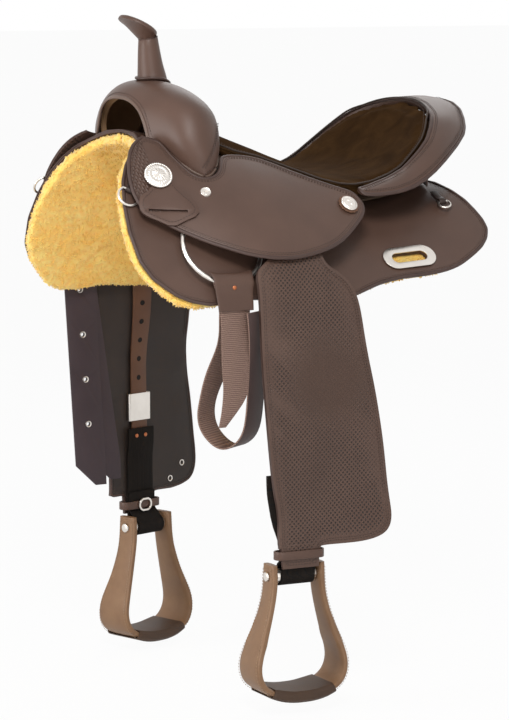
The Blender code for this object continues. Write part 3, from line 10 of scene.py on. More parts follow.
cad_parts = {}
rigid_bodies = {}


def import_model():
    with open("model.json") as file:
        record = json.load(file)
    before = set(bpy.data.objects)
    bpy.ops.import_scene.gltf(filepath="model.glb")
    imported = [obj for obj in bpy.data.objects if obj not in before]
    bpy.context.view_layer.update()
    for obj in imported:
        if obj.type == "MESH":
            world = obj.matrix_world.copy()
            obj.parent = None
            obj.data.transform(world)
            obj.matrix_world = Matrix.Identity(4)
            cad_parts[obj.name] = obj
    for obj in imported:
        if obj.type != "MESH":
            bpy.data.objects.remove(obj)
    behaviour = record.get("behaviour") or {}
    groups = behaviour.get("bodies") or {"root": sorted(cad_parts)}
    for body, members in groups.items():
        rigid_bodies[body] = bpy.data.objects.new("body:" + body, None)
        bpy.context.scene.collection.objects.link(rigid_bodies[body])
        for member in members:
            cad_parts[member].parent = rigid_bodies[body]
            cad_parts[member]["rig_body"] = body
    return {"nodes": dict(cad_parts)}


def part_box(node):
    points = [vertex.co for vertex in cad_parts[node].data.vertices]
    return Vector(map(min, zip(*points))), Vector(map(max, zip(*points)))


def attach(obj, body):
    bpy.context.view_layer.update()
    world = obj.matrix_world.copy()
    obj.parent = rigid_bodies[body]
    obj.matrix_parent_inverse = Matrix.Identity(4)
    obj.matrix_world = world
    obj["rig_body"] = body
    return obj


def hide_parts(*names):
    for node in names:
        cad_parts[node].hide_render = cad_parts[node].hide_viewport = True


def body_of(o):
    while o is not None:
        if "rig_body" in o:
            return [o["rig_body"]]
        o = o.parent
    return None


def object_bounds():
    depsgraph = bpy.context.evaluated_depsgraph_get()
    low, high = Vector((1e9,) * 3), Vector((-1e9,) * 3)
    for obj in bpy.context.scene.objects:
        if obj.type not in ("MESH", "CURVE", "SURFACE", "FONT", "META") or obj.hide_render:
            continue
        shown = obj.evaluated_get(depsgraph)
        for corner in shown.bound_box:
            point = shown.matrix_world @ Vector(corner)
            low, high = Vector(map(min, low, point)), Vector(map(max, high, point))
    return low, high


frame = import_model()
cad_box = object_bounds()
nodes = frame["nodes"]
SIDES = {"left": -1.0, "right": 1.0}

# The saddle hangs over a plain pale floor in soft, even studio light.
# The camera looks at its near side from the front quarter, a little above the seat.


def srgb(red, green, blue):
    """Linear colour of an sRGB one given in 0 to 255."""
    return tuple((c / 255 / 12.92) if c <= 10.3 else ((c / 255 + 0.055) / 1.055) ** 2.4 for c in (red, green, blue))


def node_in(tree, kind, given=None, **settings):
    """A node of that kind. Each of its given inputs is a plain value or another node's output."""
    made = tree.nodes.new(kind if "Node" in kind else "ShaderNode" + kind)
    for key, value in settings.items():
        setattr(made, key, value)
    for key, value in (given or {}).items():
        if isinstance(value, bpy.types.NodeSocket):
            tree.links.new(value, made.inputs[key])
        else:
            made.inputs[key].default_value = value
    return made


def sum_of(tree, operation, *values):
    """The result of a Math node whose inputs are numbers or sockets."""
    return node_in(tree, "Math", dict(enumerate(values)), operation=operation).outputs[0]


def noise_in(tree, **values):
    """Noise over the piece's own coordinates, 0 to 1."""
    given = {"Vector": spot_in(tree)}
    given.update((key.title(), value) for key, value in values.items())
    return node_in(tree, "TexNoise", given).outputs["Fac"]


def spot_in(tree):
    """The place on the piece, in its own coordinates."""
    return node_in(tree, "TexCoord").outputs["Object"]


def blend_of(tree, share, first, second):
    """A colour between two, by a share that is a socket."""
    made = node_in(tree, "Mix", data_type="RGBA")
    tree.links.new(share, made.inputs["Factor"])
    for key, value in (("A", first), ("B", second)):
        socket = [s for s in made.inputs if s.name == key and s.type == "RGBA"][0]
        if isinstance(value, tuple):
            socket.default_value = (*value, 1.0)
        else:
            tree.links.new(value, socket)
    return [s for s in made.outputs if s.type == "RGBA"][0]


def plain_material(name, colour, roughness):
    """A material with these values, its node tree and its shader."""
    made = bpy.data.materials.new(name)
    made.use_nodes = True
    shader = made.node_tree.nodes["Principled BSDF"]
    shader.inputs["Base Color"].default_value = (*colour, 1.0)
    shader.inputs["Roughness"].default_value = roughness
    return made, made.node_tree, shader


FLOOR_Z = cad_box[0][2] - 0.012
FLOOR_REACH = 40.0
FLOOR_GLOW = 0.95
SKY_STRENGTH = 0.28

floor_paint, tree, shader = plain_material("floor_paint", (0.90, 0.90, 0.90), 0.9)
path = node_in(tree, "LightPath")
seen = sum_of(tree, "MAXIMUM", path.outputs["Is Camera Ray"], path.outputs["Is Glossy Ray"])
white = node_in(tree, "Emission", {"Color": (1.0, 1.0, 1.0, 1.0)})
glow = node_in(tree, "MixShader", {0: sum_of(tree, "MULTIPLY", seen, FLOOR_GLOW), 1: shader.outputs[0],
                                   2: white.outputs[0]})
tree.links.new(glow.outputs[0], tree.nodes["Material Output"].inputs["Surface"])

floor_mesh = bpy.data.meshes.new("floor")
floor_mesh.from_pydata([(x * FLOOR_REACH, y * FLOOR_REACH, FLOOR_Z) for x, y in ((-1, -1), (1, -1), (1, 1), (-1, 1))],
                       [], [(0, 1, 2, 3)])
floor_mesh.materials.append(floor_paint)
floor = bpy.data.objects.new("floor", floor_mesh)
bpy.context.scene.collection.objects.link(floor)

world = bpy.data.worlds.new("studio")
world.use_nodes = True
bpy.context.scene.world = world
tree = world.node_tree
sky = tree.nodes["Background"]
sky.inputs["Color"].default_value = (1.0, 1.0, 1.0, 1.0)
path = node_in(tree, "LightPath")
seen = sum_of(tree, "MAXIMUM", path.outputs["Is Camera Ray"], path.outputs["Is Glossy Ray"])
seen = sum_of(tree, "MAXIMUM", seen, path.outputs["Is Transmission Ray"])
strength = sum_of(tree, "MULTIPLY_ADD", seen, 1.0 - SKY_STRENGTH, SKY_STRENGTH)
tree.links.new(strength, sky.inputs["Strength"])

LAMPS = [
    ("key_light", (-1.3, -2.0, 1.6), (0.0, 0.0, -0.15), 0.8, 40.0),
    ("side_light", (-2.4, 0.1, 0.2), (-0.1, 0.1, -0.1), 1.0, 24.0),
    ("back_light", (1.4, 1.6, 1.6), (0.0, 0.0, 0.0), 1.6, 12.0),
    ("low_light", (-0.6, -2.2, -0.3), (0.0, 0.0, -0.4), 1.0, 7.0)]
for lamp_name, spot, target, size, power in LAMPS:
    lamp = bpy.data.lights.new(lamp_name, "AREA")
    lamp.energy = power
    lamp.size = size
    lamp_object = bpy.data.objects.new(lamp_name, lamp)
    lamp_object.location = spot
    lamp_object.rotation_euler = (Vector(target) - Vector(spot)).to_track_quat("-Z", "Y").to_euler()
    bpy.context.scene.collection.objects.link(lamp_object)

VIEW_AZIMUTH = math.radians(-31.0)
VIEW_HEIGHT = math.radians(7.3)
VIEW_DISTANCE = 4.28
VIEW_CENTRE = Vector((-0.038, 0.0, -0.223))
VIEW_LENS = 153.1
VIEW_FILM = 36.0
toward = Vector((math.sin(VIEW_AZIMUTH) * math.cos(VIEW_HEIGHT), -math.cos(VIEW_AZIMUTH) * math.cos(VIEW_HEIGHT),
                 math.sin(VIEW_HEIGHT)))
view = bpy.data.cameras.new("view")
view.lens = VIEW_LENS
view.sensor_fit = "VERTICAL"
view.sensor_height = VIEW_FILM
camera = bpy.data.objects.new("view", view)
camera.location = VIEW_CENTRE + VIEW_DISTANCE * toward
camera.rotation_euler = (-toward).to_track_quat("-Z", "Y").to_euler()
bpy.context.scene.collection.objects.link(camera)
bpy.context.scene.camera = camera
bpy.context.scene.view_settings.view_transform = "Standard"

# Smooth leather: the synthetic hide that covers most of the saddle, a grey brown with a fine pebbled grain.
# Every leather here has the same grain, at its own scale, and is a little darker in its hollows.


def new_group(name, inputs, outputs):
    """Shader node group with named number inputs and outputs, and its two end nodes."""
    group = bpy.data.node_groups.new(name, "ShaderNodeTree")
    for label, value in inputs:
        socket = group.interface.new_socket(label, in_out="INPUT", socket_type="NodeSocketFloat")
        socket.default_value = value
    for label in outputs:
        group.interface.new_socket(label, in_out="OUTPUT", socket_type="NodeSocketFloat")
    return group, group.nodes.new("NodeGroupInput"), group.nodes.new("NodeGroupOutput")


LEATHER_SHEEN = 0.38
grain_group, ins, outs = new_group("leather_grain", [("Pebble size", 0.0012), ("Patch size", 0.06)],
                                   ["Height", "Patches"])
pebble_scale = sum_of(grain_group, "DIVIDE", 1.0, ins.outputs["Pebble size"])
pebbles = node_in(grain_group, "TexVoronoi", {"Vector": spot_in(grain_group), "Scale": pebble_scale},
                  feature="DISTANCE_TO_EDGE")
wrinkle = noise_in(grain_group, detail=4.0, scale=sum_of(grain_group, "DIVIDE", 0.35, ins.outputs["Pebble size"]))
flattened = sum_of(grain_group, "MINIMUM", pebbles.outputs["Distance"], 0.22)
grain_group.links.new(sum_of(grain_group, "MULTIPLY_ADD", wrinkle, 0.25, flattened), outs.inputs["Height"])
patches = noise_in(grain_group, detail=3.0, scale=sum_of(grain_group, "DIVIDE", 1.0, ins.outputs["Patch size"]))
grain_group.links.new(patches, outs.inputs["Patches"])


def bumped(tree, shader, height, distance, strength=1.0):
    """Lets a height drive the shader's normal, on top of the bump it may have already."""
    bump = node_in(tree, "Bump", {"Height": height, "Distance": distance, "Strength": strength})
    if shader.inputs["Normal"].links:
        tree.links.new(shader.inputs["Normal"].links[0].from_socket, bump.inputs["Normal"])
    tree.links.new(bump.outputs["Normal"], shader.inputs["Normal"])


def leather(name, dark, light, roughness, pebble=0.0012, depth=0.00012, patch=0.05):
    """Leather with patches between two colours and a pebbled grain."""
    made, tree, shader = plain_material(name, light, roughness)
    grain = node_in(tree, "Group", node_tree=grain_group)
    grain.inputs["Pebble size"].default_value = pebble
    grain.inputs["Patch size"].default_value = patch
    colour = blend_of(tree, sum_of(tree, "MULTIPLY_ADD", grain.outputs["Patches"], 1.6, -0.3), dark, light)
    tree.links.new(colour, shader.inputs["Base Color"])
    rough = sum_of(tree, "MULTIPLY_ADD", grain.outputs["Patches"], 0.18, roughness - 0.09)
    tree.links.new(rough, shader.inputs["Roughness"])
    shader.inputs["Specular IOR Level"].default_value = LEATHER_SHEEN
    bumped(tree, shader, grain.outputs["Height"], depth)
    return made


smooth_leather = leather("smooth_leather", srgb(82, 60, 50), srgb(95, 71, 60), 0.42)
edge_binding = leather("edge_binding", srgb(66, 48, 42), srgb(80, 60, 53), 0.46, pebble=0.0009)
dark_leather = leather("dark_leather", srgb(52, 40, 36), srgb(64, 50, 44), 0.5)

SAME_POINT = 0.00002
QUAD_BEND = 25.0
QUAD_SKEW = 50.0


def merged(node):
    """The CAD node's faces as one closed mesh in which triangles that lie flat together are joined to quads."""
    bm = bmesh.new()
    bm.from_mesh(nodes[node].data)
    bmesh.ops.remove_doubles(bm, verts=bm.verts, dist=SAME_POINT)
    bmesh.ops.join_triangles(bm, faces=bm.faces, angle_face_threshold=math.radians(QUAD_BEND),
                             angle_shape_threshold=math.radians(QUAD_SKEW))
    bm.normal_update()
    return bm


def regions_of(bm, sharp):
    """Patches of faces that run smoothly together, the largest first."""
    limit = math.radians(sharp)
    seen = set()
    found = []
    for first in bm.faces:
        if first in seen:
            continue
        seen.add(first)
        patch = [first]
        for face in patch:
            for edge in face.edges:
                if len(edge.link_faces) == 2 and edge.calc_face_angle(0.0) < limit:
                    for other in edge.link_faces:
                        if other not in seen:
                            seen.add(other)
                            patch.append(other)
        found.append(patch)
    return sorted(found, key=lambda patch: -sum(face.calc_area() for face in patch))


def linked(name, mesh):
    """A new object of that name in the scene, from a mesh or a curve."""
    made = bpy.data.objects.new(name, mesh)
    bpy.context.scene.collection.objects.link(made)
    return made


def settled(piece, kind=None, **settings):
    """Gives a piece one more modifier with these settings, if a kind is named, and keeps its mesh without them."""
    if kind is not None:
        modifier = piece.modifiers.new(kind.lower(), kind)
        for key, value in settings.items():
            setattr(modifier, key, value)
    finished = bpy.data.meshes.new_from_object(piece.evaluated_get(bpy.context.evaluated_depsgraph_get()))
    piece.modifiers.clear()
    piece.data = finished
    return piece


def carried(piece, node):
    """Lets a piece ride on the body of its CAD node."""
    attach(piece, body_of(nodes[node])[0])
    return piece


def kept(bm, name):
    """The edited faces as a plain mesh of that name."""
    mesh = bpy.data.meshes.new(name)
    bm.to_mesh(mesh)
    bm.free()
    return mesh


def hide_of(node, face, rim=None, levels=1, sharp=50.0, eased=0.0007, back=None, near=None):
    """A sheet or block of leather over its CAD node: smooth faces, eased edges and a rim of its own finish.

    With back, the other one of its two sides has that finish, and near is a point on its front.
    """
    bm = merged(node)
    patches = regions_of(bm, sharp)
    if back is not None:
        front = min(patches[:2], key=lambda patch: min((f.calc_center_median() - Vector(near)).length for f in patch))
        behind = patches[1] if front is patches[0] else patches[0]
        for piece_face in behind:
            piece_face.material_index = 1 if rim is None else 2
    if rim is not None:
        for patch in patches[2:]:
            for piece_face in patch:
                piece_face.material_index = 1
    crease = bm.edges.layers.float.new("crease_edge")
    for edge in bm.edges:
        if len(edge.link_faces) == 2 and edge.calc_face_angle(0.0) > math.radians(sharp):
            edge[crease] = 1.0
    piece = linked(node + "_hide", kept(bm, node + "_hide"))
    if levels:
        smooth = piece.modifiers.new("smooth", "SUBSURF")
        smooth.levels = levels
        smooth.render_levels = levels
    settled(piece, "BEVEL", width=eased, segments=2, limit_method="ANGLE", angle_limit=math.radians(sharp - 8.0))
    piece.data.shade_smooth()
    piece.data.set_sharp_from_angle(angle=math.radians(sharp))
    for finish in (face, rim, back):
        if finish is not None:
            piece.data.materials.append(finish)
    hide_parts(node)
    return carried(piece, node)


# Saddle tree: two bars that lie along the horse's back, the fork that joins them in front and the cantle behind.
# They are moulded of glass fibre over wood, so that what shows between the linings is dull and brown.

tree_resin = leather("tree_resin", srgb(66, 50, 38), srgb(84, 66, 50), 0.6, pebble=0.0025, depth=0.0001)
fork_lining = leather("fork_lining", srgb(140, 106, 74), srgb(160, 124, 90), 0.55, pebble=0.0016)
for node in ("tree_bar_left", "tree_bar_right", "tree_cantle", "ground_seat"):
    hide_of(node, tree_resin, levels=0, sharp=40.0)
hide_of("tree_fork", fork_lining, levels=0, sharp=40.0)

# Fleece linings: woven synthetic sheepskin sewn under each skirt, deep yellow, with clumped curly pile.
# The pile is a lumpy closed body with some thousands of small locks standing out of it.

FLEECE_VOXEL = 0.0042
FLEECE_CLUMP = 0.014
FLEECE_RISE = 0.0011
LOCK_SPACING = 0.0042
LOCK_LENGTH = 0.0024
LOCK_TILT = (0.7, 0.7, 3.1)

fleece_pile, tree, shader = plain_material("fleece_pile", srgb(245, 188, 84), 0.95)
clumps = noise_in(tree, scale=150.0, detail=5.0)
drifts = noise_in(tree, scale=24.0, detail=3.0)
pale = blend_of(tree, sum_of(tree, "MULTIPLY_ADD", drifts, 2.0, -0.5), srgb(255, 208, 92), srgb(255, 230, 136))
colour = blend_of(tree, sum_of(tree, "MULTIPLY_ADD", clumps, 2.0, -0.3), srgb(255, 192, 76), pale)
tree.links.new(colour, shader.inputs["Base Color"])
shader.inputs["Sheen Weight"].default_value = 0.5
shader.inputs["Sheen Roughness"].default_value = 0.6
bumped(tree, shader, clumps, 0.0008, 0.6)


def geometry_tree(name, sockets):
    """Geometry node tree with a geometry input and output and the named inputs given."""
    made = bpy.data.node_groups.new(name, "GeometryNodeTree")
    made.interface.new_socket("Geometry", in_out="INPUT", socket_type="NodeSocketGeometry")
    for label, kind in sockets:
        made.interface.new_socket(label, in_out="INPUT", socket_type="NodeSocket" + kind)
    made.interface.new_socket("Geometry", in_out="OUTPUT", socket_type="NodeSocketGeometry")
    return made, made.nodes.new("NodeGroupInput"), made.nodes.new("NodeGroupOutput")


def run_tree(piece, group, **values):
    """Runs a geometry tree on a piece with these inputs and keeps the plain mesh that it gives."""
    modifier = piece.modifiers.new(group.name, "NODES")
    modifier.node_group = group
    for item in group.interface.items_tree:
        if item.in_out == "INPUT" and item.name.replace(" ", "_") in values:
            modifier[item.identifier] = values[item.name.replace(" ", "_")]
    made = bpy.data.meshes.new_from_object(piece.evaluated_get(bpy.context.evaluated_depsgraph_get()))
    bpy.data.objects.remove(piece)
    return made


def repeated(tree, ends, finish, **given):
    """Ends a geometry tree: copies on the points, made real and given the finish that the named input holds."""
    copies = node_in(tree, "GeometryNodeInstanceOnPoints", given)
    real = node_in(tree, "GeometryNodeRealizeInstances", {"Geometry": copies.outputs["Instances"]})
    painted = node_in(tree, "GeometryNodeSetMaterial",
                      {"Geometry": real.outputs["Geometry"], "Material": ends[0].outputs[finish]})
    tree.links.new(painted.outputs["Geometry"], ends[1].inputs["Geometry"])


lock_tree, *ends = geometry_tree("fleece_locks", [("Spacing", "Float"), ("Length", "Float"), ("Seed", "Int"),
                                                  ("Pile", "Material")])
ins = ends[0].outputs
area = sum_of(lock_tree, "MULTIPLY", ins["Spacing"], ins["Spacing"])
scatter = node_in(lock_tree, "GeometryNodeDistributePointsOnFaces",
                  {"Mesh": ins["Geometry"], "Density": sum_of(lock_tree, "DIVIDE", 1.0, area), "Seed": ins["Seed"]},
                  distribute_method="RANDOM")
lock = node_in(lock_tree, "GeometryNodeMeshCone", {"Vertices": 4, "Side Segments": 2, "Radius Top": 0.06,
                                                   "Radius Bottom": 0.55, "Depth": 1.0}, fill_type="NONE")
tilt = node_in(lock_tree, "FunctionNodeRandomValue", {0: tuple(-most for most in LOCK_TILT), 1: LOCK_TILT,
                                                      "Seed": ins["Seed"]}, data_type="FLOAT_VECTOR")
turn = node_in(lock_tree, "FunctionNodeRotateRotation", {"Rotation": scatter.outputs["Rotation"],
                                                         "Rotate By": tilt.outputs[0]}, rotation_space="LOCAL")
repeated(lock_tree, ends, "Pile", Points=scatter.outputs["Points"], Instance=lock.outputs["Mesh"],
         Rotation=turn.outputs[0], Scale=ins["Length"])


def lumpy(mesh, size, height):
    """Moves each point of a closed mesh along its normal by clumps of that size and height."""
    outward = [vertex.normal.copy() for vertex in mesh.vertices]
    for vertex, normal in zip(mesh.vertices, outward):
        place = Vector(vertex.co)
        lift = noise.noise(place / size) + 0.5 * noise.noise(place * 2.3 / size)
        vertex.co = place + normal * height * lift


def body_mesh(node):
    """The CAD node's closed surface in triangles, to be swollen."""
    bm = merged(node)
    bmesh.ops.triangulate(bm, faces=bm.faces)
    return kept(bm, node + "_body")


for seed, side in enumerate(SIDES):
    node = "fleece_" + side
    piece = linked(node + "_pile", body_mesh(node))
    settled(piece, "REMESH", mode="VOXEL", voxel_size=FLEECE_VOXEL)
    lumpy(piece.data, FLEECE_CLUMP, FLEECE_RISE)
    piece.data.materials.clear()
    piece.data.materials.append(fleece_pile)
    piece.data.shade_smooth()
    carrier = linked(node + "_carrier", piece.data.copy())
    locks = run_tree(carrier, lock_tree, Spacing=LOCK_SPACING, Length=LOCK_LENGTH, Seed=seed, Pile=fleece_pile)
    locks.shade_smooth()
    carried(linked(node + "_locks", locks), node)
    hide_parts(node)
    carried(piece, node)

# Skirts: the big flaps of synthetic leather that lie on the fleece. Each has a folded binding round its edge,
# caught down by one row of lock stitches.

STITCH_LENGTH = 0.0030
STITCH_SPACING = 0.0042
STITCH_RADIUS = 0.00045


def thread_of(name, dark, light):
    """Waxed thread, mottled by its twist."""
    made, tree, shader = plain_material(name, dark, 0.7)
    tree.links.new(blend_of(tree, noise_in(tree, scale=900.0), dark, light), shader.inputs["Base Color"])
    return made


thread = thread_of("thread", srgb(44, 33, 28), srgb(84, 66, 58))
pale_thread = thread_of("pale_thread", srgb(136, 110, 86), srgb(178, 148, 118))

stitch_tree, *ends = geometry_tree("stitches", [("Spacing", "Float"), ("Length", "Float"), ("Radius", "Float"),
                                                ("Thread", "Material")])
ins = ends[0].outputs
even = node_in(stitch_tree, "GeometryNodeResampleCurve", {"Curve": ins["Geometry"], "Length": ins["Spacing"]},
               mode="LENGTH")
along = node_in(stitch_tree, "GeometryNodeInputTangent")
turn = node_in(stitch_tree, "FunctionNodeAlignRotationToVector", {"Vector": along.outputs["Tangent"]}, axis="Z")
bead = node_in(stitch_tree, "GeometryNodeMeshUVSphere", {"Segments": 6, "Rings": 5, "Radius": 1.0})
size = node_in(stitch_tree, "CombineXYZ", {"X": ins["Radius"], "Y": ins["Radius"],
                                           "Z": sum_of(stitch_tree, "MULTIPLY", ins["Length"], 0.5)})
repeated(stitch_tree, ends, "Thread", Points=even.outputs["Curve"], Instance=bead.outputs["Mesh"],
         Rotation=turn.outputs[0], Scale=size.outputs[0])


def wire_of(name, paths):
    """Curve object of straight runs between the points of each path."""
    curve = bpy.data.curves.new(name, "CURVE")
    curve.dimensions = "3D"
    for points, closed in paths:
        spline = curve.splines.new("POLY")
        spline.points.add(len(points) - 1)
        for place, point in zip(spline.points, points):
            place.co = (*point, 1.0)
        spline.use_cyclic_u = closed
    return linked(name, curve)


def stitched(name, paths, node, finish=thread, spacing=STITCH_SPACING, length=STITCH_LENGTH):
    """Rows of stitches along these paths, as one piece that rides with its node."""
    mesh = run_tree(wire_of(name + "_row", paths), stitch_tree, Spacing=spacing, Length=length,
                    Radius=STITCH_RADIUS, Thread=finish)
    mesh.shade_smooth()
    return carried(linked(name, mesh), node)


def even_loop(points, step, closed=True):
    """The same path with its points that far apart."""
    ring = [Vector(p) for p in points]
    if closed:
        ring.append(ring[0].copy())
    lengths = [0.0]
    for a, b in zip(ring, ring[1:]):
        lengths.append(lengths[-1] + (b - a).length)
    count = max(8, round(lengths[-1] / step))
    made = []
    at = 0
    for k in range(count if closed else count + 1):
        reach = lengths[-1] * k / count
        while at < len(ring) - 2 and lengths[at + 1] < reach:
            at += 1
        span = lengths[at + 1] - lengths[at]
        made.append(ring[at].lerp(ring[at + 1], (reach - lengths[at]) / span if span else 0.0))
    return made


def eased_ring(points, rounds):
    """A closed path with each point drawn towards its neighbours, that many times over."""
    for _ in range(rounds):
        points = [points[k - 1].lerp(points[(k + 1) % len(points)], 0.5).lerp(points[k], 0.5)
                  for k in range(len(points))]
    return points


def borders_of(node, facing, sharp=50.0, step=0.003):
    """Border loops of the sheet's face that looks this way, longest first, and that face as a search tree.

    Each loop is a list of (point, direction into the sheet, normal).
    """
    bm = merged(node)
    way = Vector(facing)
    patches = regions_of(bm, sharp)
    face = patches[0]
    if way.length:
        face = max(patches, key=lambda patch: sum(f.calc_area() * f.normal.dot(way) for f in patch))
    chosen = set(face)
    steps = {}
    for edge in bm.edges:
        inside = [f for f in edge.link_faces if f in chosen]
        if len(inside) == 1:
            for loop in inside[0].loops:
                if loop.edge == edge:
                    steps[loop.vert.index] = loop.link_loop_next.vert.index
    corners = {v.index: v.co.copy() for v in bm.verts}
    grid = []
    faces = []
    index = {}
    for f in face:
        for v in f.verts:
            if v.index not in index:
                index[v.index] = len(grid)
                grid.append(v.co.copy())
        faces.append([index[v.index] for v in f.verts])
    surface = BVHTree.FromPolygons(grid, faces)
    bm.free()
    loops = []
    while steps:
        first, following = steps.popitem()
        ring = [first]
        while following in steps:
            ring.append(following)
            following = steps.pop(following)
        if len(ring) < 3:
            continue
        points = even_loop([corners[v] for v in ring], step)
        points = eased_ring(points, 3)
        made = []
        for k, point in enumerate(points):
            along = (points[(k + 1) % len(points)] - points[k - 1]).normalized()
            _, normal, _, _ = surface.find_nearest(point)
            if normal.dot(way) < -0.2:
                normal = -normal
            made.append((point, normal.cross(along).normalized(), normal))
        loops.append(made)
    return sorted(loops, key=lambda ring: -len(ring)), surface


def inset(loop, surface, distance, lift=0.0002):
    """Path that runs that far inside a border loop, on the sheet's face."""
    points = eased_ring([point + inward * distance for point, inward, normal in loop], 4)
    made = []
    for point, (_, _, outward) in zip(points, loop):
        place, normal, _, _ = surface.find_nearest(point)
        if normal.dot(outward) < 0:
            normal = -normal
        made.append(place + normal * lift)
    return made


def swept(name, loop, profile, finish, node):
    """A band of constant section round a border loop. The profile's points are (inwards, outwards) distances."""
    bm = bmesh.new()
    rings = [[bm.verts.new(point + inward * x + normal * y) for x, y in profile] for point, inward, normal in loop]
    for k, here in enumerate(rings):
        there = rings[(k + 1) % len(rings)]
        for j in range(len(profile)):
            i = (j + 1) % len(profile)
            bm.faces.new((here[j], here[i], there[i], there[j]))
    bmesh.ops.recalc_face_normals(bm, faces=bm.faces)
    mesh = kept(bm, name)
    mesh.shade_smooth()
    mesh.materials.append(finish)
    return carried(linked(name, mesh), node)


def oval(wide, high, inward=0.0, outward=0.0):
    """Eight points round an oval section, its middle that far inwards and outwards of the border."""
    return [(wide * math.cos(k * math.pi / 4) + inward, high * math.sin(k * math.pi / 4) + outward) for k in range(8)]


BINDING_PROFILE = [(0.0040, -0.0006), (0.0039, 0.0003), (0.0022, 0.0007), (0.0004, 0.0005), (-0.0007, -0.0004),
                   (-0.0008, -0.0016), (0.0003, -0.0020)]
FIRST_ROW = 0.0060
SECOND_ROW = 0.0085
OUTER_FACE = {side: (0.0, way, 0.35) for side, way in SIDES.items()}


def bound_flap(part, side, finish, rows):
    """A flap with a binding swept round its outer border and rows of stitches at these distances inside it."""
    node = part + "_" + side
    hide_of(node, finish, rim=edge_binding)
    loops, surface = borders_of(node, OUTER_FACE[side])
    swept(part + "_binding_" + side, loops[0], BINDING_PROFILE, edge_binding, node)
    stitched(part + "_stitches_" + side, [(inset(loops[0], surface, row), True) for row in rows], node)


for side in SIDES:
    bound_flap("skirt", side, smooth_leather, (FIRST_ROW,))

# Seat jockeys: the leather flaps beside the seat, over the skirts. Bound and stitched like the skirts,
# with a second row of stitches, and stamped with a basket weave in front.


def basket_stamp(made, dark, window, slant):
    """Presses a basket weave into a leather inside a slanted window of the side view."""
    tree = made.node_tree
    shader = tree.nodes["Principled BSDF"]
    turned = node_in(tree, "Mapping", {"Vector": spot_in(tree), "Rotation": (0.0, slant, 0.0)})
    axes = node_in(tree, "SeparateXYZ", {0: turned.outputs["Vector"]})
    strips, gaps = [], []
    for axis in "XZ":
        along = sum_of(tree, "DIVIDE", axes.outputs[axis], STAMP_PITCH)
        strips.append(sum_of(tree, "FLOOR", along))
        gaps.append(sum_of(tree, "ABSOLUTE", sum_of(tree, "SUBTRACT", sum_of(tree, "FRACT", along), 0.5)))
    cell = sum_of(tree, "PINGPONG", sum_of(tree, "ADD", *strips), 1.0)
    bow = sum_of(tree, "ADD", sum_of(tree, "MULTIPLY", cell, gaps[0]),
                 sum_of(tree, "MULTIPLY", sum_of(tree, "SUBTRACT", 1.0, cell), gaps[1]))
    rise = sum_of(tree, "SUBTRACT", 1.0, sum_of(tree, "MULTIPLY", sum_of(tree, "POWER", bow, 2.0), 4.0))
    place = node_in(tree, "SeparateXYZ", {0: spot_in(tree)})
    inside = None
    for axis, low, high in window:
        for share in (sum_of(tree, "GREATER_THAN", place.outputs[axis], low),
                      sum_of(tree, "LESS_THAN", place.outputs[axis], high)):
            inside = share if inside is None else sum_of(tree, "MULTIPLY", inside, share)
    bumped(tree, shader, sum_of(tree, "MULTIPLY", rise, inside), STAMP_DEPTH)
    base = shader.inputs["Base Color"].links[0].from_socket
    pressed = sum_of(tree, "MULTIPLY", inside, sum_of(tree, "SUBTRACT", 1.0, rise))
    tree.links.new(blend_of(tree, pressed, base, dark), shader.inputs["Base Color"])


STAMP_PITCH = 0.0036
STAMP_DEPTH = 0.0006
jockey_leather = leather("jockey_leather", srgb(86, 64, 54), srgb(99, 75, 64), 0.42)
basket_stamp(jockey_leather, srgb(86, 64, 54), (("X", -0.335, -0.264), ("Z", -0.02, 0.12)), 0.3)
for side in SIDES:
    bound_flap("jockey", side, jockey_leather, (FIRST_ROW, SECOND_ROW))

# Seat: a foam pad covered with rough brown suede and laced to the ground seat. It is stuffed a little full,
# piped round its border and sewn down inside the piping.

SEAT_VOXEL = 0.005
SEAT_PRESSURE = 4.0
SEAT_STEPS = 20
SEAT_SWELL = 0.0040
PIPING_RADIUS = 0.0013

suede, tree, shader = plain_material("suede", srgb(84, 64, 40), 0.96)
nap = noise_in(tree, scale=1400.0, detail=4.0)
brushed = noise_in(tree, scale=26.0, detail=5.0, distortion=0.8)
wide = blend_of(tree, sum_of(tree, "MULTIPLY_ADD", brushed, 2.6, -0.8), srgb(56, 36, 16), srgb(80, 55, 29))
colour = blend_of(tree, sum_of(tree, "MULTIPLY", nap, 0.45), wide, srgb(42, 29, 16))
tree.links.new(colour, shader.inputs["Base Color"])
shader.inputs["Specular IOR Level"].default_value = 0.06
bumped(tree, shader, nap, 0.0005, 0.7)

seat = linked("seat_cover", body_mesh("seat_pad"))
settled(seat, "REMESH", mode="VOXEL", voxel_size=SEAT_VOXEL)
settled(seat, "SMOOTH", factor=0.5, iterations=4)
start = [vertex.co.copy() for vertex in seat.data.vertices]
cloth = seat.modifiers.new("stuffing", "CLOTH")
cloth.settings.use_pressure = True
cloth.settings.uniform_pressure_force = SEAT_PRESSURE
cloth.settings.quality = 5
cloth.settings.effector_weights.gravity = 0.0
for step in range(1, SEAT_STEPS + 1):
    bpy.context.scene.frame_set(step)
settled(seat)
bpy.context.scene.frame_set(1)
for vertex, home in zip(seat.data.vertices, start):
    moved = vertex.co - home
    if moved.length > SEAT_SWELL:
        vertex.co = home + moved * (SEAT_SWELL / moved.length)
settled(seat, "SUBSURF", levels=1, render_levels=1)
seat.data.shade_smooth()
seat.data.materials.clear()
seat.data.materials.append(suede)
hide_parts("seat_pad")
carried(seat, "seat_pad")

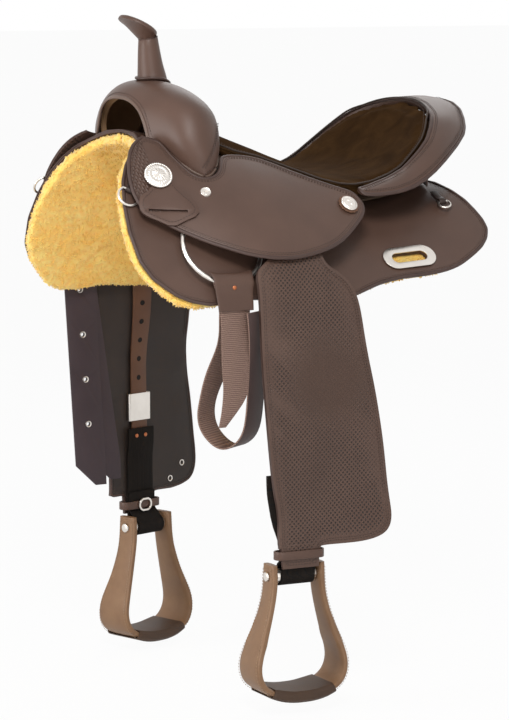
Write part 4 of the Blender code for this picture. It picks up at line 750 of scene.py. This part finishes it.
seat_piping = leather("seat_piping", srgb(40, 28, 20), srgb(54, 39, 29), 0.6, pebble=0.0010)
loops, surface = borders_of("seat_pad", (-0.1, 0.0, 1.0), sharp=30.0)
swept("seat_piping", loops[0], oval(PIPING_RADIUS, PIPING_RADIUS, outward=0.0010), seat_piping, "seat_pad")
stitched("seat_stitches", [(inset(loops[0], surface, FIRST_ROW, lift=0.0012), True)], "seat_pad")

# Fork cover: leather shrunk wet over the fork and its swells, sewn to a rolled lip round the gullet arch and
# closed by a welt down each swell. The horn is bound with the same leather and wears a stitched cap.

UPPER_FACE = (0.0, 0.0, 1.0)
UNDERSIDE = (0.0, 0.0, -1.0)
FORK_BEND = 44.0
WELT = [(-0.1645, 0.1145), (-0.1726, 0.0993), (-0.1823, 0.0841), (-0.1923, 0.0701), (-0.1981, 0.0596)]
WELT_ROWS = 0.0032
BORDER_LIP = oval(0.0026, 0.0018)

for node in ("fork_cover", "horn_neck", "horn_cap"):
    hide_of(node, smooth_leather, sharp=FORK_BEND)
loops, _ = borders_of("horn_neck", UNDERSIDE, sharp=FORK_BEND, step=0.002)
swept("horn_collar", loops[0], oval(0.0030, 0.0022, -0.0004, -0.0002), edge_binding, "horn_neck")
loops, _ = borders_of("horn_cap", UNDERSIDE, sharp=FORK_BEND, step=0.002)
swept("horn_cap_seam", loops[0], oval(0.00105, 0.00088, -0.00014, -0.00008), edge_binding, "horn_cap")

gullet_lip = leather("gullet_lip", srgb(96, 76, 66), srgb(116, 94, 82), 0.4)
loops, surface = borders_of("fork_cover", UPPER_FACE, sharp=FORK_BEND)
swept("fork_lip", loops[0], BORDER_LIP, gullet_lip, "fork_cover")
stitched("fork_stitches", [(inset(loops[0], surface, 0.0065), True)], "fork_cover")
for side, way in SIDES.items():
    rows = []
    for shift in (0.0, WELT_ROWS):
        spots = []
        for x, z in WELT:
            place, normal, _, _ = surface.ray_cast(Vector((x + shift, way * 0.3, z)), Vector((0.0, -way, 0.0)))
            if place is not None:
                spots.append(place + (normal if normal.y * way > 0 else -normal) * 0.0003)
        rows.append((even_loop(spots, 0.002, closed=False), False))
    stitched("fork_welt_" + side, rows, "fork_cover", length=0.0036, spacing=0.0040)

# Cantle: a dished backboard with a stuffed roll round its top and a cover sewn over its back. Its border is
# bound in darker leather, with two rows of stitches inside.

for node in ("cantle_roll", "cantle_back"):
    hide_of(node, smooth_leather, sharp=FORK_BEND)
loops, surface = borders_of("cantle_roll", UPPER_FACE, sharp=FORK_BEND)
swept("cantle_binding", loops[0], BORDER_LIP, edge_binding, "cantle_roll")
stitched("cantle_stitches", [(inset(loops[0], surface, row), True) for row in (FIRST_ROW, SECOND_ROW)],
         "cantle_roll")

# Concho keepers: slotted leather pieces under the front conchos, where a strap can be tied. They are cut from
# the same hide, edged dark and sewn round.

for side in SIDES:
    node = "concho_keeper_" + side
    hide_of(node, smooth_leather, rim=edge_binding, levels=0, sharp=40.0)
    loops, surface = borders_of(node, OUTER_FACE[side], sharp=40.0)
    stitched("concho_keeper_stitches_" + side, [(inset(loops[0], surface, 0.0045), True)], node)

# Fenders: the wide leather flaps in front of the rider's legs. Punched with a close diamond grid of small holes
# to save weight, edged dark, and sewn along the border.

HOLE_PITCH = 0.0047
# Middle of a smooth spot on the fender, where the holes thin out and the shade of a soft fold is painted darker.
SMOOTH_SHADED_SPOT = (("X", -0.055), ("Z", -0.225))
FIELD_MARGIN = 0.008

fender_leather = leather("fender_leather", srgb(83, 61, 51), srgb(97, 74, 63), 0.42)
tree = fender_leather.node_tree
shader = tree.nodes["Principled BSDF"]
axes = node_in(tree, "SeparateXYZ", {0: spot_in(tree)}).outputs
squares = []
for operation in ("ADD", "SUBTRACT"):
    diagonal = sum_of(tree, "DIVIDE", sum_of(tree, operation, axes["X"], axes["Z"]), HOLE_PITCH * 1.414)
    gap = sum_of(tree, "ABSOLUTE", sum_of(tree, "SUBTRACT", sum_of(tree, "FRACT", diagonal), 0.5))
    squares.append(sum_of(tree, "MULTIPLY", gap, gap))
reach = sum_of(tree, "SQRT", sum_of(tree, "ADD", *squares))
hole = node_in(tree, "MapRange", {"Value": reach, "From Min": 0.20, "From Max": 0.33, "To Min": 1.0, "To Max": 0.0})
squares = [sum_of(tree, "POWER", sum_of(tree, "SUBTRACT", axes[axis], middle), 2.0) for axis, middle in SMOOTH_SHADED_SPOT]
smooth_shaded_reach = sum_of(tree, "SQRT", sum_of(tree, "ADD", *squares))
wander = sum_of(tree, "MULTIPLY_ADD", noise_in(tree, scale=14.0, detail=2.0), 0.05, -0.025)
zone = node_in(tree, "MapRange", {"Value": sum_of(tree, "ADD", smooth_shaded_reach, wander), "From Min": 0.030,
                                  "From Max": 0.085}, interpolation_type="SMOOTHSTEP").outputs["Result"]
field = node_in(tree, "Attribute", attribute_name="field").outputs["Fac"]
inside = sum_of(tree, "MULTIPLY", field, sum_of(tree, "MULTIPLY_ADD", zone, 0.85, 0.15))
pierced = sum_of(tree, "MULTIPLY", hole.outputs["Result"], inside)
base = shader.inputs["Base Color"].links[0].from_socket
# Painted shade: round that spot the leather is painted darker, for the shade of a soft fold.
base = blend_of(tree, sum_of(tree, "MULTIPLY_ADD", zone, -0.7, 0.7), base, srgb(70, 49, 38))
# Painted shade: each hole is painted near black, for the shade inside it.
colour = blend_of(tree, sum_of(tree, "MULTIPLY", pierced, 0.9), base, srgb(26, 18, 14))
tree.links.new(colour, shader.inputs["Base Color"])
bumped(tree, shader, sum_of(tree, "SUBTRACT", 1.0, pierced), 0.0008)

fender_lining = leather("fender_lining", srgb(44, 35, 31), srgb(58, 48, 43), 0.6, pebble=0.0010, patch=0.03)
FENDER_EDGE = [(0.0030, -0.0004), (0.0028, 0.0004), (0.0008, 0.0006), (-0.0005, -0.0002), (0.0004, -0.0010)]


def mark_field(piece, path, margin):
    """Share on each point of a piece: 0 near this border path and 1 from twice the margin inwards."""
    finder = KDTree(len(path))
    for k, point in enumerate(path):
        finder.insert(point, k)
    finder.balance()
    field = piece.data.attributes.new("field", "FLOAT", "POINT")
    for vertex in piece.data.vertices:
        distance = finder.find(vertex.co)[2]
        field.data[vertex.index].value = min(1.0, max(0.0, distance / margin - 1.0))


for side, way in SIDES.items():
    node = "fender_" + side
    piece = hide_of(node, fender_leather, rim=edge_binding, levels=2)
    piece.data.materials.append(fender_lining)
    for face in piece.data.polygons:
        if face.normal.y * way < -0.25 and face.material_index == 0:
            face.material_index = 2
    loops, surface = borders_of(node, OUTER_FACE[side])
    mark_field(piece, [point for point, _, _ in loops[0]], FIELD_MARGIN)
    inner_loops, inner_surface = borders_of(node, [-c for c in OUTER_FACE[side]])
    rows = [(inset(loops[0], surface, row), True) for row in (0.0050, 0.0080)]
    rows.append((inset(inner_loops[0], inner_surface, FIRST_ROW), True))
    stitched("fender_stitches_" + side, rows, node)
    swept("fender_edge_" + side, inner_loops[0], FENDER_EDGE, edge_binding, node)

# Stirrup leathers: brown straps that hang inside the fenders from the bars, each with a black nylon sleeve
# below its steel buckle plate.

strap_leather = leather("strap_leather", srgb(92, 60, 42), srgb(112, 78, 56), 0.5)
sleeve_fabric, tree, shader = plain_material("sleeve_fabric", srgb(24, 17, 13), 0.8)
weave = node_in(tree, "TexBrick", {"Vector": spot_in(tree), "Scale": 260.0, "Color1": (*srgb(30, 23, 18), 1.0),
                                   "Color2": (*srgb(20, 14, 10), 1.0), "Mortar": (*srgb(14, 13, 13), 1.0)})
shader.inputs["Specular IOR Level"].default_value = 0.2
tree.links.new(weave.outputs["Color"], shader.inputs["Base Color"])
bumped(tree, shader, weave.outputs["Fac"], -0.0003)
for side in SIDES:
    hide_of("stirrup_leather_" + side, strap_leather)
    hide_of("leather_sleeve_" + side, sleeve_fabric)
    hide_of("hobble_strap_" + side, smooth_leather, levels=0, sharp=40.0)
    hide_of("rigging_strap_" + side, strap_leather, levels=0)
    for tab, finish in (("front_tab_", dark_leather), ("rear_tab_", dark_leather), ("rear_rosette_", strap_leather)):
        hide_of(tab + side, finish, levels=0, sharp=40.0)

# Stirrups: bent hardwood bows covered with brown leather and sewn along their edges with pale thread.
# The tread has its own dark leather wrap.

stirrup_cover = leather("stirrup_cover", srgb(126, 94, 68), srgb(142, 110, 82), 0.5, patch=0.02)
tread_wrap = leather("tread_wrap", srgb(60, 42, 30), srgb(80, 59, 44), 0.6, pebble=0.0018)
for side in SIDES:
    node = "stirrup_" + side
    hide_of(node, stirrup_cover, sharp=40.0)
    hide_of("tread_" + side, tread_wrap, sharp=40.0)
    loops, surface = borders_of(node, (0.0, 0.0, 0.0), sharp=40.0)
    rows = [(inset(loop, surface, 0.0040), True) for loop in loops[:2]]
    stitched("stirrup_stitches_" + side, rows, node, finish=pale_thread)

# Straps of the girth: the webbing tie strap with its leather cuff on the near ring, and the folded leather
# off billet on the far ring.

RIB_PITCH = 0.0026
TIE_FRONT = (-0.2073, -0.2231, -0.2520)

webbing, tree, shader = plain_material("webbing", srgb(112, 84, 72), 0.85)
axes = node_in(tree, "SeparateXYZ", {0: spot_in(tree)}).outputs
rib = sum_of(tree, "SINE", sum_of(tree, "MULTIPLY", axes["Z"], 2 * math.pi / RIB_PITCH))
tone = blend_of(tree, sum_of(tree, "MULTIPLY_ADD", rib, 0.5, 0.5), srgb(112, 86, 76), srgb(160, 132, 118))
colour = blend_of(tree, sum_of(tree, "MULTIPLY", noise_in(tree, scale=800.0), 0.25), tone, srgb(92, 68, 60))
tree.links.new(colour, shader.inputs["Base Color"])
bumped(tree, shader, rib, 0.0004, 0.8)
billet_leather = leather("billet_leather", srgb(52, 40, 44), srgb(64, 51, 55), 0.5, pebble=0.0010)
webbing_back = leather("webbing_back", srgb(62, 45, 42), srgb(80, 60, 56), 0.6, pebble=0.0016)
hide_of("tie_strap", webbing, sharp=40.0, back=webbing_back, near=TIE_FRONT)
hide_of("tie_keeper", smooth_leather, rim=edge_binding)
hide_of("off_billet", billet_leather, levels=0, sharp=40.0)

# Metal: nickel plated steel rings, dees, plates, conchos and buckles, bright with a little brushing.
# The rings and the buckles are bent from wire, the plates and the conchos are pressed from sheet.


def metal(name, dark, light, roughness, size, detail=2.0):
    """Polished metal with a mottled colour. Gives the material, its shader and the mottling too."""
    made, tree, shader = plain_material(name, light, roughness)
    shader.inputs["Metallic"].default_value = 1.0
    mottled = noise_in(tree, scale=size, detail=detail)
    tree.links.new(blend_of(tree, mottled, dark, light), shader.inputs["Base Color"])
    return made, shader, mottled


plating, shader, mottled = metal("plating", srgb(212, 204, 196), srgb(236, 231, 224), 0.3, 60.0, detail=5.0)
tree = plating.node_tree
tree.links.new(sum_of(tree, "MULTIPLY_ADD", mottled, 0.22, 0.20), shader.inputs["Roughness"])
bumped(tree, shader, noise_in(tree, scale=900.0), 0.00002)
METAL_NODES = ["slot_plate", "front_dee", "rear_ring", "rigging_ring", "leather_keeper", "hobble_buckle",
               "stirrup_bolt"]
for side in SIDES:
    for name in METAL_NODES:
        hide_of(name + "_" + side, plating, levels=0, sharp=35.0, eased=0.0004)

CONCHO_RINGS = [(0.0, 1.00), (0.10, 0.99), (0.22, 0.96), (0.34, 0.90), (0.44, 0.82), (0.50, 0.70), (0.54, 0.78),
                (0.66, 0.74), (0.76, 0.62), (0.82, 0.46), (0.85, 0.34), (0.88, 0.46), (0.94, 0.44), (0.985, 0.26),
                (1.0, 0.0)]
CONCHO_PETALS = 12
CONCHO_BEADS = 40


def chased(share, angle):
    """Height of the chasing at that share of the radius: petals on the boss, scallops round it, a roped rim."""
    if 0.12 < share < 0.48:
        return -0.10 * abs(math.sin(CONCHO_PETALS * angle / 2)) ** 6
    if 0.55 < share < 0.80:
        return 0.09 * abs(math.cos(CONCHO_PETALS * angle))
    if 0.87 <= share < 1.0:
        return 0.10 * math.cos(CONCHO_BEADS * angle + 9 * share)
    return 0.0


def skinned(bm, rings, steps):
    """Faces between rings of that many points. A ring of one point is a tip."""
    for low, high in zip(rings, rings[1:]):
        for k in range(steps):
            j = (k + 1) % steps
            corners = [low[k % len(low)], low[j % len(low)], high[j % len(high)], high[k % len(high)]]
            corners = list(dict.fromkeys(corners))
            if len(corners) > 2:
                bm.faces.new(corners)


def concho(node):
    """Domed disc over its CAD node, chased with petals round its boss and a roped rim."""
    skin = nodes[node].data
    low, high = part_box(node)
    centre = sum((v.co for v in skin.vertices), Vector()) / len(skin.vertices)
    side = 1.0 if centre.y > 0 else -1.0
    back = min(skin.polygons, key=lambda face: face.normal.y * side * face.area).normal
    axis = -back.normalized()
    heights = [(v.co - centre).dot(axis) for v in skin.vertices]
    base = min(heights)
    rise = max(heights) - base
    foot = centre + axis * base
    radius = max(((v.co - foot) - axis * (v.co - foot).dot(axis)).length for v in skin.vertices)
    first = axis.orthogonal().normalized()
    second = axis.cross(first)
    steps = CONCHO_BEADS * 4
    bm = bmesh.new()
    rings = []
    for share, lift in CONCHO_RINGS:
        ring = []
        for k in range(steps if share else 1):
            angle = 2 * math.pi * k / steps
            height = rise * (lift + chased(share, angle))
            ring.append(bm.verts.new(foot + axis * height + (first * math.cos(angle) + second * math.sin(angle))
                                     * radius * share))
        rings.append(ring)
    skinned(bm, rings, steps)
    bm.faces.new(rings[-1][::-1])
    bmesh.ops.recalc_face_normals(bm, faces=bm.faces)
    mesh = kept(bm, node + "_chased")
    mesh.shade_smooth()
    mesh.materials.append(plating)
    piece = linked(node + "_chased", mesh)
    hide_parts(node)
    carried(piece, node)


for side in SIDES:
    concho("front_concho_" + side)
    concho("rear_concho_" + side)

# Small fittings: eyelets round the strap holes, copper rivets, and the slotted screws that hold the jockeys.
# They are turned or pressed from metal and set through the leather. Plain punched holes are dark discs of painted
# shade, for the shade inside each hole.

copper, _, _ = metal("copper", srgb(150, 84, 54), srgb(206, 132, 92), 0.35, 700.0)
dark_hole, tree, shader = plain_material("dark_hole", srgb(14, 10, 9), 0.9)
colour = blend_of(tree, noise_in(tree, scale=500.0), srgb(10, 7, 6), srgb(22, 16, 14))
tree.links.new(colour, shader.inputs["Base Color"])


def turned_mesh(name, profile, segments):
    """Round piece with its axis along Z, from (radius, height) points that start and end on the axis."""
    bm = bmesh.new()
    rings = []
    for radius, height in profile:
        if radius < 1e-6:
            rings.append([bm.verts.new((0.0, 0.0, height))])
        else:
            rings.append([bm.verts.new((radius * math.cos(2 * math.pi * k / segments),
                                        radius * math.sin(2 * math.pi * k / segments), height))
                          for k in range(segments)])
    skinned(bm, rings, segments)
    bmesh.ops.recalc_face_normals(bm, faces=bm.faces)
    return kept(bm, name)


fitting_tree, *ends = geometry_tree("fittings", [("Shape", "Object"), ("Finish", "Material")])
ins = ends[0].outputs
turned = node_in(fitting_tree, "GeometryNodeObjectInfo", {"Object": ins["Shape"]})
outward = node_in(fitting_tree, "GeometryNodeInputNamedAttribute", {"Name": "outward"}, data_type="FLOAT_VECTOR")
turn = node_in(fitting_tree, "FunctionNodeAlignRotationToVector", {"Vector": outward.outputs["Attribute"]}, axis="Z")
repeated(fitting_tree, ends, "Finish", Points=ins["Geometry"], Instance=turned.outputs["Geometry"],
         Rotation=turn.outputs[0])


def fitting(name, shape, finish, spots, node):
    """Copies of one turned shape at these (place, outward direction) spots, as one piece that rides with a node."""
    points = bpy.data.meshes.new(name + "_spots")
    points.from_pydata([tuple(spot) for spot, _ in spots], [], [])
    directions = points.attributes.new("outward", "FLOAT_VECTOR", "POINT")
    directions.data.foreach_set("vector", [c for _, way in spots for c in way])
    pattern = linked(name + "_pattern", shape)
    mesh = run_tree(linked(name + "_spots", points), fitting_tree, Shape=pattern, Finish=finish)
    bpy.data.objects.remove(pattern)
    mesh.shade_smooth()
    mesh.set_sharp_from_angle(angle=math.radians(40.0))
    return carried(linked(name, mesh), node)


def skin_of(node):
    """The surface that is seen on a node, as a search tree."""
    mesh = (bpy.data.objects.get(node + "_hide") or nodes[node]).data
    return BVHTree.FromPolygons([v.co for v in mesh.vertices], [list(p.vertices) for p in mesh.polygons])


def on_skin(node, start, way):
    """Where a line from start along way first meets the node, and the direction out of its surface there."""
    place, normal, _, _ = skin_of(node).ray_cast(Vector(start), Vector(way).normalized())
    if normal.dot(Vector(way)) > 0:
        normal = -normal
    return place, normal


eyelet = turned_mesh("eyelet", [(0.0031, -0.0008), (0.0031, 0.0003), (0.0036, 0.0008), (0.0045, 0.0007),
                                (0.0049, 0.0001), (0.0048, -0.0008)], 18)
rivet = turned_mesh("rivet", [(0.0, 0.0011), (0.0014, 0.0010), (0.0026, 0.0006), (0.0031, 0.0), (0.0031, -0.0010),
                              (0.0, -0.0010)], 16)
punched = turned_mesh("punched", [(0.0, 0.00002), (0.0030, 0.00004), (0.0035, 0.0001), (0.0039, 0.0),
                                  (0.0039, -0.0006), (0.0, -0.0006)], 18)
screw = turned_mesh("screw", [(0.0, 0.0002), (0.0014, 0.0002), (0.0018, 0.0012), (0.0042, 0.0016), (0.0048, 0.0010),
                              (0.0054, 0.0010), (0.0068, 0.0018), (0.0075, 0.0008), (0.0075, -0.0010),
                              (0.0, -0.0010)], 28)

spots = []
for facing in ((0.0, 1.0, 0.0), (0.0, -1.0, 0.0)):
    loops, _ = borders_of("off_billet", facing, sharp=40.0, step=0.0015)
    for loop in loops:
        if len(loop) < 20:
            centre = sum((point for point, _, _ in loop), Vector()) / len(loop)
            spots.append((centre, loop[0][2]))
fitting("billet_eyelets", eyelet, plating, spots, "off_billet")

JOCKEY_SCREW = (-0.2054, 0.1536)
LEATHER_HOLES = [-0.1607, -0.1885, -0.2163, -0.2442, -0.2721]
SLEEVE_RIVETS = (-0.0085, 0.0085)
SLEEVE_RIVET_DROP = 0.0110
FENDER_EYELETS = [(0.0004, -0.4091), (-0.0231, -0.4300)]
CUFF_RIVET = (-0.2013, -0.4, -0.093)
for side, way in SIDES.items():
    outward = (0, way, 0)
    node = "jockey_" + side
    above = (JOCKEY_SCREW[0], way * JOCKEY_SCREW[1], 0.3)
    fitting("jockey_screw_" + side, screw, plating, [on_skin(node, above, (0, 0, -1))], node)
    node = "stirrup_leather_" + side
    spots = []
    for height in LEATHER_HOLES:
        across = [v.co.x for v in nodes[node].data.vertices if abs(v.co.z - height) < 0.03]
        place, normal = on_skin(node, (sum(across) / len(across), 0.0, height), outward)
        spots.append((place + normal * 0.0001, normal))
    # Each punched hole is a flat disc of painted shade.
    fitting("leather_holes_" + side, punched, dark_hole, spots, node)
    node = "leather_sleeve_" + side
    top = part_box(node)[1].z
    rim = [v.co for v in nodes[node].data.vertices if v.co.z > top - 0.004]
    middle = sum(rim, Vector()).x / len(rim)
    spots = [on_skin(node, (middle + step, 0.0, top - SLEEVE_RIVET_DROP), outward) for step in SLEEVE_RIVETS]
    fitting("sleeve_rivets_" + side, rivet, copper, spots, node)
    node = "fender_" + side
    spots = [on_skin(node, (x, 0.0, z), outward) for x, z in FENDER_EYELETS]
    fitting("fender_eyelets_" + side, eyelet, plating, spots, node)
fitting("cuff_rivet", rivet, copper, [on_skin("tie_keeper", CUFF_RIVET, (0, 1, 0))], "tie_keeper")
